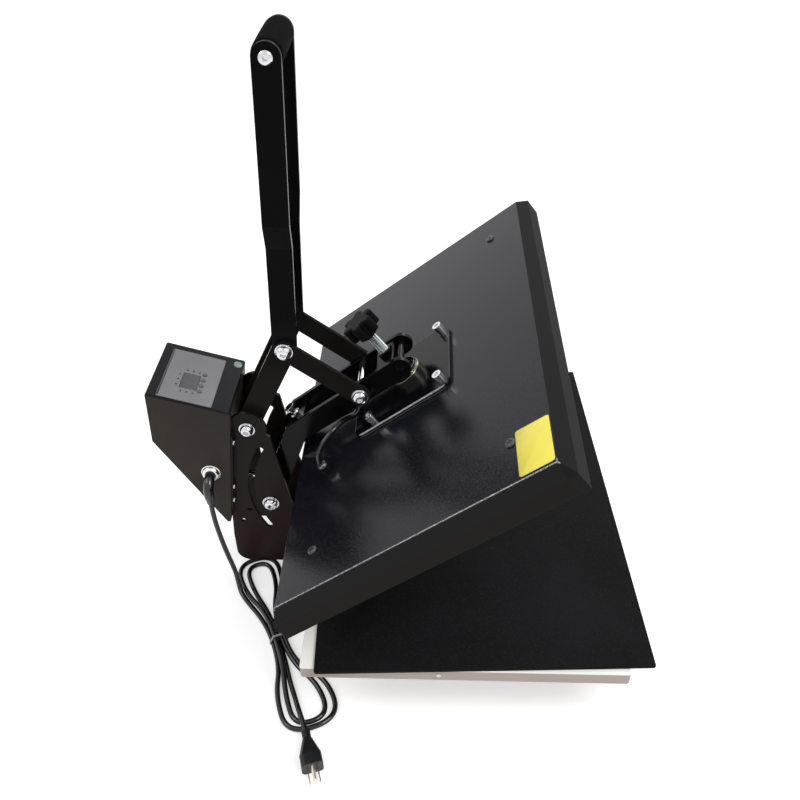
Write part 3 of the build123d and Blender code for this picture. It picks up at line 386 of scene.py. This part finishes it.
def turned_ring(name, profile, sides, place):
    """A closed ring turned from a profile of heights and radii, at a place."""
    bpy.ops.object.select_all(action="DESELECT")
    here, radius = profile[0]
    bpy.ops.mesh.primitive_circle_add(vertices=sides, radius=radius, location=(0, 0, 0))
    ring = bpy.context.object
    ring.name = name
    bpy.ops.object.mode_set(mode="EDIT")
    bpy.ops.mesh.select_all(action="SELECT")
    bpy.ops.transform.translate(value=(0, 0, here))
    for height, wide in profile[1:] + profile[:1]:
        step = {"value": (0, 0, height - here)}
        bpy.ops.mesh.extrude_edges_move(TRANSFORM_OT_translate=step)
        share = wide / radius
        middle = (0, 0, height)
        bpy.ops.transform.resize(value=(share, share, 1), center_override=middle)
        here, radius = height, wide
    bpy.ops.mesh.select_all(action="SELECT")
    bpy.ops.mesh.remove_doubles(threshold=weld_gap)
    bpy.ops.mesh.normals_make_consistent(inside=False)
    bpy.ops.object.mode_set(mode="OBJECT")
    ring.matrix_world = place
    bpy.ops.object.transform_apply(location=True, rotation=True, scale=True)
    bpy.ops.object.shade_smooth_by_angle(angle=ring_crease)
    return ring


collar_profile = [
    (0.0001, 0.0101),
    (0.0001, 0.0132),
    (0.0013, 0.0132),
    (0.0018, 0.0121),
    (0.0044, 0.0116),
    (0.0063, 0.0102),
    (0.0069, 0.0086),
    (0.0067, 0.0075),
    (0.0052, 0.0075),
    (0.0052, 0.0101),
]
relief_root = (box_left, board_rear + relief_behind, relief_height)
collar_place = place_of(relief_root, "Y", -math.pi / 2)
relief_collar = turned_ring("relief_collar", collar_profile, collar_sides, collar_place)
collar_finish = finish_of(
    "collar_finish", (0.8, 0.8, 0.8), 0.18, metallic=1.0, mottle=0.05, edge=0.0002
)
paint(relief_collar, collar_finish)
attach(relief_collar, "base")

# Bench and light. A plain white surface that keeps the press's shadow, an even
# sky, and soft lamps above the left front, the right and the back.

bench_size = 30
bench_height = -0.0002
bench_grey = 0.82
bench_roughness = 0.8
bench_glow = 0.5
sky_lit = 0.55
sky_seen = 1.0
lamp_size = 1.0
lamps = [
    ((-0.9, -1.4, 2.2), 30.0),
    ((1.6, -0.6, 1.8), 12.0),
    ((-0.4, 1.6, 1.9), 12.0),
]
lamp_aim = mathutils.Vector((0, 0, 0.3))

bpy.ops.mesh.primitive_plane_add(size=bench_size, location=(0, 0, bench_height))
bench = bpy.context.object
bench.name = "bench"
bench_white = bpy.data.materials.new("bench_white")
bench_white.use_nodes = True
tree = bench_white.node_tree
shader = tree.nodes["Principled BSDF"]
shader.inputs["Base Color"].default_value = (bench_grey, bench_grey, bench_grey, 1)
shader.inputs["Roughness"].default_value = bench_roughness
glow = set_node(tree, "ShaderNodeEmission", Strength=bench_glow)
lit = tree.nodes.new("ShaderNodeAddShader")
tree.links.new(shader.outputs[0], lit.inputs[0])
tree.links.new(glow.outputs[0], lit.inputs[1])


def seen_directly(tree):
    """1 for what the camera sees, by itself or in metal and glass."""
    paths = tree.nodes.new("ShaderNodeLightPath")
    seen = paths.outputs["Is Camera Ray"]
    for other in ("Is Glossy Ray", "Is Transmission Ray"):
        either = set_node(tree, "ShaderNodeMath", operation="MAXIMUM")
        tree.links.new(seen, either.inputs[0])
        tree.links.new(paths.outputs[other], either.inputs[1])
        seen = either.outputs[0]
    return seen


def choose(tree, mask, first, second, output):
    """The second shader where the mask is 1, and the first elsewhere."""
    mix = tree.nodes.new("ShaderNodeMixShader")
    tree.links.new(mask, mix.inputs["Fac"])
    tree.links.new(first.outputs[0], mix.inputs[1])
    tree.links.new(second.outputs[0], mix.inputs[2])
    tree.links.new(mix.outputs[0], tree.nodes[output].inputs["Surface"])


choose(tree, seen_directly(tree), shader, lit, "Material Output")
bench.data.materials.append(bench_white)

world = bpy.data.worlds.new("studio")
bpy.context.scene.world = world
world.use_nodes = True
tree = world.node_tree
sky = tree.nodes["Background"]
sky.inputs["Strength"].default_value = sky_lit
backdrop = set_node(tree, "ShaderNodeBackground", Strength=sky_seen)
for light in (sky, backdrop):
    light.inputs["Color"].default_value = (1, 1, 1, 1)
choose(tree, seen_directly(tree), sky, backdrop, "World Output")

for place, watts in lamps:
    aim = (lamp_aim - mathutils.Vector(place)).to_track_quat("-Z", "Y").to_euler()
    bpy.ops.object.light_add(type="AREA", location=place, rotation=aim)
    lamp = bpy.context.object
    lamp.data.energy = watts
    lamp.data.size = lamp_size

bpy.context.scene.view_settings.view_transform = "Standard"

# Base frame. Square steel tubes, welded plates and folded feet brackets, all
# powder coated dark brown-black, on black rubber feet.

downwards = (0, 0, -1)
frame_paler_below = (-0.24, -0.10)

lower_frame = (past(downwards, *frame_paler_below), (0.017, 0.008, 0.0055), 0.4, 0.0)
frame_coat = finish_of(
    "frame_coat",
    (0.0085, 0.006, 0.0047),
    0.3,
    mottle=0.3,
    grain=0.4,
    grain_scale=1400,
    shine=0.1,
    wear_and_highlight=((0.12, 0.1, 0.09), 0.25),
    regions=(lower_frame,),
)
paint_nodes(
    frame_coat,
    "base_rail_left",
    "base_rail_right",
    "rear_cross_bar",
    "front_cross_bar",
    "base_legs",
    "side_plate_left",
    "side_plate_right",
)
foot_rubber = finish_of(
    "foot_rubber", (0.012, 0.012, 0.013), 0.5, grain=0.3, grain_scale=1600
)
paint_nodes(foot_rubber, "feet_and_end_caps")
zinc = finish_of(
    "zinc", (0.55, 0.55, 0.56), 0.3, metallic=1.0, mottle=0.15, mottle_scale=60
)
paint_nodes(zinc, "frame_screws", "pivot_nuts_and_spacers")
chrome = finish_of(
    "chrome", (0.66, 0.66, 0.69), 0.1, metallic=1.0, mottle=0.04, grain=0.03
)
paint_nodes(chrome, "pivot_bolts")

# Lower board. A thick board with a cream laminate top, a white edge line and
# greyer banded sides.

upwards = (0, 0, 1)
laminate_span = (0.0984, 0.0986)

laminate_top = (past(upwards, *laminate_span), (0.95, 0.94, 0.88), 0.35, 0.0)
board_band = finish_of(
    "board_band",
    (0.46, 0.39, 0.34),
    0.5,
    mottle=0.08,
    mottle_scale=9,
    grain_scale=500,
    regions=(laminate_top,),
)
paint_nodes(board_band, "lower_board")

# Mat. A loose slab of dark grey silicone, turned a little on the board. It is
# cut from sheet, with rounded corners and softened edges.

mat_size = (0.600, 0.412)
mat_thick = 0.004
mat_corner = 0.003
mat_soft = 0.0007
mat_turn = math.radians(2.6)
mat_forward = 0.211
board_top = 0.100
corner_steps = 6
soft_steps = 3
sheet_crease = math.radians(35)


def cut_sheet(name, size, thick, corner, soft, place):
    """A flat sheet with rounded corners and softened edges, at a place."""
    bpy.ops.object.select_all(action="DESELECT")
    bpy.ops.mesh.primitive_plane_add(size=1)
    sheet = bpy.context.object
    sheet.name = name
    sheet.scale = (*size, 1)
    bpy.ops.object.transform_apply(scale=True)
    bpy.ops.object.mode_set(mode="EDIT")
    bpy.ops.mesh.select_all(action="SELECT")
    bpy.ops.mesh.bevel(offset=corner, segments=corner_steps, affect="VERTICES")
    bpy.ops.object.mode_set(mode="OBJECT")
    wall = sheet.modifiers.new("wall", "SOLIDIFY")
    wall.thickness = thick
    wall.offset = 1.0
    bpy.ops.object.modifier_apply(modifier=wall.name)
    ease = sheet.modifiers.new("ease", "BEVEL")
    ease.width = soft
    ease.segments = soft_steps
    ease.limit_method = "ANGLE"
    bpy.ops.object.modifier_apply(modifier=ease.name)
    sheet.matrix_world = place
    bpy.ops.object.transform_apply(location=True, rotation=True, scale=True)
    bpy.ops.object.shade_smooth_by_angle(angle=sheet_crease)
    return sheet


mat_place = place_of((0, board_rear - mat_forward, board_top), "Z", mat_turn)
press_mat = cut_sheet(
    "press_mat", mat_size, mat_thick, mat_corner, mat_soft, mat_place
)
mat_rubber = finish_of(
    "mat_rubber",
    (0.0065, 0.0062, 0.007),
    0.6,
    mottle=0.45,
    mottle_scale=7,
    grain=0.5,
    grain_scale=420,
    shine=0.06,
    specks_and_glints=((0.02, 0.019, 0.021), 0.4),
)
paint(press_mat, mat_rubber)
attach(press_mat, "base")
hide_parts("silicone_mat")

# Control box. A folded steel shell with a side cover, brown-black on its sides
# and black on its panel, held by small screws.

panel_behind = 0.2095
panel_height = 0.331
panel_tilt = math.radians(16.402)
panel_up = (0.0, -0.2824, 0.9593)
panel_span = (0.2240, 0.2243)

panel_place = place_of((0, board_rear + panel_behind, panel_height), "X", panel_tilt)
panel_black = (past(panel_up, *panel_span), (0.004, 0.004, 0.0055), 0.4, 0.0)
box_coat = finish_of(
    "box_coat",
    (0.037, 0.0285, 0.023),
    0.38,
    mottle=0.2,
    mottle_scale=7,
    grain=0.4,
    grain_scale=1300,
    shine=0.1,
    wear_and_highlight=((0.16, 0.14, 0.13), 0.2),
    regions=(panel_black,),
)
paint_nodes(box_coat, "box_shell", "box_cover")
paint_nodes(zinc, "box_screws")

# Panel label. A printed grey film, with a display window, a darker line at its
# rear edge, small round marks by the display, and a plain green sticker.

label_top = 0.0008
print_thick = 0.00006
print_soft = 0.00001
line_size = (0.1, 0.0022)
line_corner = 0.0005
line_place = (-0.005, 0.0154)
dot_size = (0.0032, 0.0032)
dot_corner = 0.00155
side_dots = [(x, y) for x in (-0.0375, 0.0075) for y in (0.0415, 0.0495, 0.0575)]
rear_dots = [(x, 0.0335) for x in (-0.026, -0.015, -0.004)]
sticker_size = (0.0135, 0.0112)
sticker_corner = 0.0054
sticker_place = (0.0458, 0.1026)
sticker_thick = 0.0002
sticker_soft = 0.00005


def on_panel(x, along, height):
    """The place of a piece that lies on the panel."""
    return panel_place @ mathutils.Matrix.Translation((x, -along, height))


def print_mark(name, size, corner, place):
    """A thin printed mark on the label."""
    return cut_sheet(
        name, size, print_thick, corner, print_soft, on_panel(*place, label_top)
    )


def on_base(piece):
    """A piece on the base."""
    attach(piece, "base")


label_film = finish_of(
    "label_film",
    (0.155, 0.153, 0.172),
    0.3,
    mottle=0.07,
    mottle_scale=30,
    grain=0.1,
    shine=0.35,
)
paint_nodes(label_film, "panel_label")
edge_line = print_mark("label_edge_line", line_size, line_corner, line_place)
edge_ink = finish_of("edge_ink", (0.06, 0.055, 0.075), 0.4, mottle=0.05)
paint(edge_line, edge_ink)
on_base(edge_line)
dot_pieces = [
    print_mark("label_dots", dot_size, dot_corner, place)
    for place in side_dots + rear_dots
]
bpy.ops.object.select_all(action="DESELECT")
for piece in dot_pieces:
    piece.select_set(True)
bpy.context.view_layer.objects.active = dot_pieces[0]
bpy.ops.object.join()
label_dots = bpy.context.object
dark_ink = finish_of("dark_ink", (0.055, 0.055, 0.062), 0.4, mottle=0.05)
paint(label_dots, dark_ink)
on_base(label_dots)
sticker = cut_sheet(
    "green_sticker",
    sticker_size,
    sticker_thick,
    sticker_corner,
    sticker_soft,
    on_panel(*sticker_place, 0.0),
)
sticker_green = finish_of(
    "sticker_green", (0.19, 0.3, 0.24), 0.3, mottle=0.2, mottle_scale=200
)
paint(sticker, sticker_green)
on_base(sticker)
window_film = finish_of(
    "window_film", (0.045, 0.045, 0.052), 0.2, mottle=0.1, mottle_scale=250
)
paint_nodes(window_film, "display_window")
key_rubber = finish_of("key_rubber", (0.06, 0.06, 0.068), 0.45)
paint_nodes(key_rubber, *[f"panel_key_{number}" for number in range(1, 5)])

# Inside the box. A green circuit board, a varnished transformer, a relay and a
# terminal block; the rocker switch sits in the far cover.

circuit_green = finish_of("circuit_green", (0.03, 0.11, 0.05), 0.4)
paint_nodes(circuit_green, "control_board")
core_varnish = finish_of("core_varnish", (0.1, 0.07, 0.05), 0.5)
paint_nodes(core_varnish, "transformer")
black_plastic = finish_of(
    "black_plastic", (0.004, 0.004, 0.0045), 0.3, grain=0.3, shine=0.12
)
paint_nodes(black_plastic, "relay_and_terminals", "switch_frame")
rocker_gloss = finish_of(
    "rocker_gloss", (0.009, 0.009, 0.01), 0.12, grain=0.05, shine=0.4
)
paint_nodes(rocker_gloss, "rocker")

# Arms. Two bent steel bars with a threaded block, a rear bridge and cross
# rods, enamelled black; the link rod and stop bolt are plated.

link_rod_place = (0, 0.0432, 0.3165)
link_rod_reach = 0.042
lock_nut_place = (0, 0.0113, 0.358)
lock_nut_reach = 0.022

arm_coat = finish_of(
    "arm_coat",
    (0.0032, 0.003, 0.0033),
    0.16,
    mottle=0.2,
    grain=0.08,
    shine=0.12,
    edge=0.0009,
    wear_and_highlight=((0.2, 0.2, 0.21), 0.2),
)
paint_nodes(arm_coat, "arm_left", "arm_right", "arm_bridges")
link_rod = (near(link_rod_place, link_rod_reach), (0.82, 0.82, 0.84), 0.12, 1.0)
rod_finish = finish_of(
    "rod_finish", (0.004, 0.004, 0.0045), 0.16, shine=0.15, regions=(link_rod,)
)
paint_nodes(rod_finish, "arm_rods")
lock_nut = (near(lock_nut_place, lock_nut_reach), (0.02, 0.02, 0.021), 0.25, 1.0)
nut_finish = finish_of(
    "nut_finish", (0.7, 0.7, 0.71), 0.2, metallic=1.0, regions=(lock_nut,)
)
paint_nodes(nut_finish, "arm_stop_and_nuts")

# Heater lead. A round black flex from the box's wall, past the arm pivot and
# along the arm, to the gland on the platen.

paint_nodes(flex_rubber, "heater_lead_upper", "heater_lead_lower")

# Upper platen. A pressed steel cover with a glossy black coat that has a fine
# orange-peel grain, painted glints, a painted highlight along its near top edge and
# painted shade on its bevels and walls, over a ground aluminium heating plate.

platen_centre = (0, -0.0213, 0.3156)
platen_tilt = math.radians(37.5)
bevel_span = (0.0002, 0.0004)
wall_span = (0.0152, 0.0156)
front_span = (0.1895, 0.1902)
highlight_line_span = (0.284, 0.286)
highlight_line_slope = 3

platen_place = place_of(platen_centre, "X", -platen_tilt)
platen_up = (0.0, math.sin(platen_tilt), math.cos(platen_tilt))
platen_down = tuple(-part for part in platen_up)
platen_front = (0.0, -platen_up[2], platen_up[1])
left_and_up = (-1.0, *[highlight_line_slope * part for part in platen_up[1:]])
# Painted shade: the bevel and the front bevel get darker, rougher copies of the coat,
# and the walls a darker brown copy that paints in a brown reflection.
bevel_painted_shade = (
    past(platen_down, *bevel_span, platen_centre),
    (0.0016, 0.0016, 0.0022),
    0.8,
    0.0,
)
wall_painted_shade = (
    past(platen_down, *wall_span, platen_centre),
    (0.0055, 0.0036, 0.0026),
    0.95,
    0.0,
)
front_bevel_painted_shade = (
    past(platen_front, *front_span, platen_centre),
    (0.002, 0.002, 0.002),
    0.9,
    0.0,
)
# A painted highlight: the edge mark paints a near-white line along the platen's near
# top edge.
painted_highlight_line = past(left_and_up, *highlight_line_span, platen_centre)
# The pale blue specks are painted glints of light on the orange peel.
platen_coat = finish_of(
    "platen_coat",
    (0.0055, 0.0055, 0.0095),
    0.13,
    mottle=0.2,
    mottle_scale=6,
    grain=0.35,
    grain_scale=620,
    shine=0.26,
    edge=0.0022,
    wear_and_highlight=((0.95, 0.95, 1.0), 1.0, painted_highlight_line),
    regions=(bevel_painted_shade, wall_painted_shade, front_bevel_painted_shade),
    specks_and_glints=((0.045, 0.045, 0.065), 0.5),
)
paint_nodes(platen_coat, "platen_cover")
ground_aluminium = finish_of(
    "ground_aluminium", (0.45, 0.45, 0.46), 0.42, metallic=1.0, mottle=0.08
)
paint_nodes(ground_aluminium, "heating_plate")
paint_nodes(zinc, "heater_element", "platen_standoffs", "platen_sensors")

# Insulation. A soft mineral wool blanket on the heater, with holes for the
# standoffs and the gland.

bpy.ops.object.select_all(action="DESELECT")
blanket_mesh = nodes["insulation_blanket"].data.copy()
wool_blanket = bpy.data.objects.new("wool_blanket", blanket_mesh)
bpy.context.scene.collection.objects.link(wool_blanket)
wool_blanket.select_set(True)
bpy.context.view_layer.objects.active = wool_blanket
bpy.ops.object.mode_set(mode="EDIT")
bpy.ops.mesh.select_all(action="SELECT")
bpy.ops.mesh.remove_doubles(threshold=weld_gap)
bpy.ops.object.mode_set(mode="OBJECT")
felting = wool_blanket.modifiers.new("felting", "REMESH")
felting.mode = "VOXEL"
felting.voxel_size = 0.004
bpy.ops.object.modifier_apply(modifier=felting.name)
tufts = bpy.data.textures.new("tufts", "CLOUDS")
tufts.noise_scale = 0.012
puff = wool_blanket.modifiers.new("puff", "DISPLACE")
puff.texture = tufts
puff.strength = 0.0014
puff.mid_level = 0.75
bpy.ops.object.modifier_apply(modifier=puff.name)
bpy.ops.object.shade_smooth()
wool = finish_of(
    "wool", (0.7, 0.67, 0.58), 0.9, grain=0.9, grain_scale=500, edge=0.0003
)
paint(wool_blanket, wool)
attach(wool_blanket, "platen")
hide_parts("insulation_blanket")

# Mount plate, thrust cup, screws and gland. The plate is glossy black with a painted
# highlight along its near edge, the cup is dark bronze with painted highlights on its
# edges, and the cap screws and the gland's top are bright.

to_left = (-1, 0, 0)
highlight_edge_span = (0.0645, 0.0655)
gland_span = (0.0105, 0.0107)
cap_screw_reach = 0.11

# A painted highlight: a white line painted along the plate's near edge.
painted_highlight_edge = past(to_left, *highlight_edge_span)
mount_coat = finish_of(
    "mount_coat",
    (0.003, 0.003, 0.0045),
    0.13,
    mottle=0.2,
    shine=0.2,
    edge=0.002,
    wear_and_highlight=((1.0, 1.0, 1.0), 1.0, painted_highlight_edge),
)
paint_nodes(mount_coat, "mount_plate")
# The cup's edges are painted bright, a painted highlight on its rim.
cup_bronze = finish_of(
    "cup_bronze",
    (0.14, 0.14, 0.115),
    0.2,
    metallic=1.0,
    mottle=0.3,
    wear_and_highlight=((0.75, 0.73, 0.66), 1.0),
)
paint_nodes(cup_bronze, "thrust_cup")
cap_screws = (near(platen_centre, cap_screw_reach), (0.82, 0.82, 0.84), 0.16, 1.0)
screw_finish = finish_of(
    "screw_finish", (0.05, 0.05, 0.053), 0.3, shine=0.5, regions=(cap_screws,)
)
paint_nodes(screw_finish, "platen_screws")
gland_top = (past(platen_up, *gland_span, platen_centre), (0.8, 0.8, 0.82), 0.12, 1.0)
gland_finish = finish_of(
    "gland_finish",
    (0.004, 0.004, 0.0045),
    0.3,
    grain=0.3,
    shine=0.12,
    regions=(gland_top,),
)
paint_nodes(gland_finish, "platen_cable_gland")

# Decal. A plain yellow film with rounded corners, stuck near the platen's left
# front corner.

decal_size = (0.071, 0.042)
decal_corner = 0.0035
decal_centre = (-0.2505, -0.1675, 0.0)

decal_place = platen_place @ mathutils.Matrix.Translation(decal_centre)
decal = cut_sheet(
    "yellow_decal", decal_size, sticker_thick, decal_corner, sticker_soft, decal_place
)
decal_film = finish_of(
    "decal_film", (0.86, 0.76, 0.11), 0.32, mottle=0.08, mottle_scale=30, shine=0.3
)
paint(decal, decal_film)
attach(decal, "platen")

# Pressure screw. A plated steel screw with a thread that runs through the
# arms' block, and a black star knob on its top.

thread_pitch = 0.002
thread_crest = 0.0069
thread_root = 0.0061
thread_sides = 24
thread_crease = math.radians(30)
crest_shares = (0.42, 0.58)
screw_low = 0.0095
screw_turns = 43

bpy.ops.object.select_all(action="DESELECT")
bpy.ops.mesh.primitive_plane_add(size=1)
pressure_thread = bpy.context.object
pressure_thread.name = "pressure_thread"
bpy.ops.object.mode_set(mode="EDIT")
bpy.ops.mesh.select_all(action="SELECT")
bpy.ops.mesh.delete(type="ONLY_FACE")
bpy.ops.mesh.select_all(action="DESELECT")
bpy.ops.object.mode_set(mode="OBJECT")
flank = [
    (thread_root, 0.0, 0.0),
    (thread_crest, 0.0, thread_pitch * crest_shares[0]),
    (thread_crest, 0.0, thread_pitch * crest_shares[1]),
    (thread_root, 0.0, thread_pitch),
]
round_order = [0, 1, 3, 2]
for number, place in zip(round_order, flank):
    pressure_thread.data.vertices[number].co = place
bpy.ops.object.mode_set(mode="EDIT")
bpy.ops.mesh.select_mode(type="EDGE")
bpy.ops.object.mode_set(mode="OBJECT")
for edge in pressure_thread.data.edges:
    edge.select = set(edge.vertices) == {round_order[0], round_order[3]}
bpy.ops.object.mode_set(mode="EDIT")
bpy.ops.mesh.delete(type="EDGE")
bpy.ops.object.mode_set(mode="OBJECT")
wind = pressure_thread.modifiers.new("wind", "SCREW")
wind.screw_offset = thread_pitch
wind.iterations = screw_turns
wind.steps = thread_sides
wind.render_steps = thread_sides
wind.use_merge_vertices = True
wind.merge_threshold = weld_gap
bpy.ops.object.modifier_apply(modifier=wind.name)
bpy.ops.object.mode_set(mode="EDIT")
bpy.ops.mesh.select_all(action="SELECT")
bpy.ops.mesh.remove_doubles(threshold=weld_gap)
bpy.ops.mesh.select_all(action="DESELECT")
bpy.ops.mesh.select_non_manifold(extend=False)
bpy.ops.mesh.fill()
bpy.ops.mesh.select_all(action="SELECT")
bpy.ops.mesh.normals_make_consistent(inside=False)
bpy.ops.object.mode_set(mode="OBJECT")
screw_foot = mathutils.Matrix.Translation((0, 0, screw_low))
pressure_thread.matrix_world = platen_place @ screw_foot
bpy.ops.object.transform_apply(location=True, rotation=True, scale=True)
bpy.ops.object.shade_smooth_by_angle(angle=thread_crease)
screw_steel = finish_of(
    "screw_steel", (0.36, 0.39, 0.4), 0.22, metallic=1.0, mottle=0.1, edge=0.0001
)
paint(pressure_thread, screw_steel)
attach(pressure_thread, "screw")
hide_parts("pressure_screw")
knob_plastic = finish_of(
    "knob_plastic", (0.003, 0.003, 0.0028), 0.4, grain=0.4, shine=0.05
)
paint_nodes(knob_plastic, "pressure_knob")

# Handle and links. Flat black bars with chrome pivots, a cross tube and a grip
# tube.

handle_paler_below = (-0.43, -0.33)

lower_handle = (past(downwards, *handle_paler_below), (0.014, 0.0125, 0.0115), 0.3, 0.0)
handle_coat = finish_of(
    "handle_coat",
    (0.0035, 0.0032, 0.0034),
    0.2,
    mottle=0.2,
    shine=0.03,
    edge=0.0009,
    wear_and_highlight=((0.12, 0.12, 0.12), 0.2),
    regions=(lower_handle,),
)
paint_nodes(
    handle_coat,
    "lever_plate_left",
    "lever_plate_right",
    "front_link_left",
    "front_link_right",
)
paint_nodes(chrome, "lever_bolts", "link_bolts_and_spacers")
paint_nodes(zinc, "lever_tubes")

# Foam grip. A sleeve of soft black foam on the grip tube, crowned a little and
# rounded at both ends.

grip_sides = 64
grip_middle_radius = 0.017
grip_half_profile = [
    (0.4, 0.01695),
    (0.8, 0.0168),
    (0.93, 0.0166),
    (0.972, 0.0161),
    (0.993, 0.0152),
    (1.0, 0.0138),
    (1.0, 0.0111),
]

grip_low, grip_high = (mathutils.Vector(corner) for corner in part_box("foam_grip"))
grip_half = (grip_high[0] - grip_low[0]) / 2
right_half = [(share * grip_half, radius) for share, radius in grip_half_profile]
left_half = [(-along, radius) for along, radius in reversed(right_half)]
grip_profile = left_half + [(0.0, grip_middle_radius)] + right_half
grip_place = place_of((grip_low + grip_high) / 2, "Y", math.pi / 2)
foam_sleeve = turned_ring("foam_sleeve", grip_profile, grip_sides, grip_place)
foam = finish_of(
    "foam",
    (0.0025, 0.0024, 0.003),
    0.8,
    mottle=0.35,
    mottle_scale=90,
    grain=0.6,
    grain_scale=1500,
    shine=0.02,
)
paint(foam_sleeve, foam)
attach(foam_sleeve, "lever")
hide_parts("foam_grip")
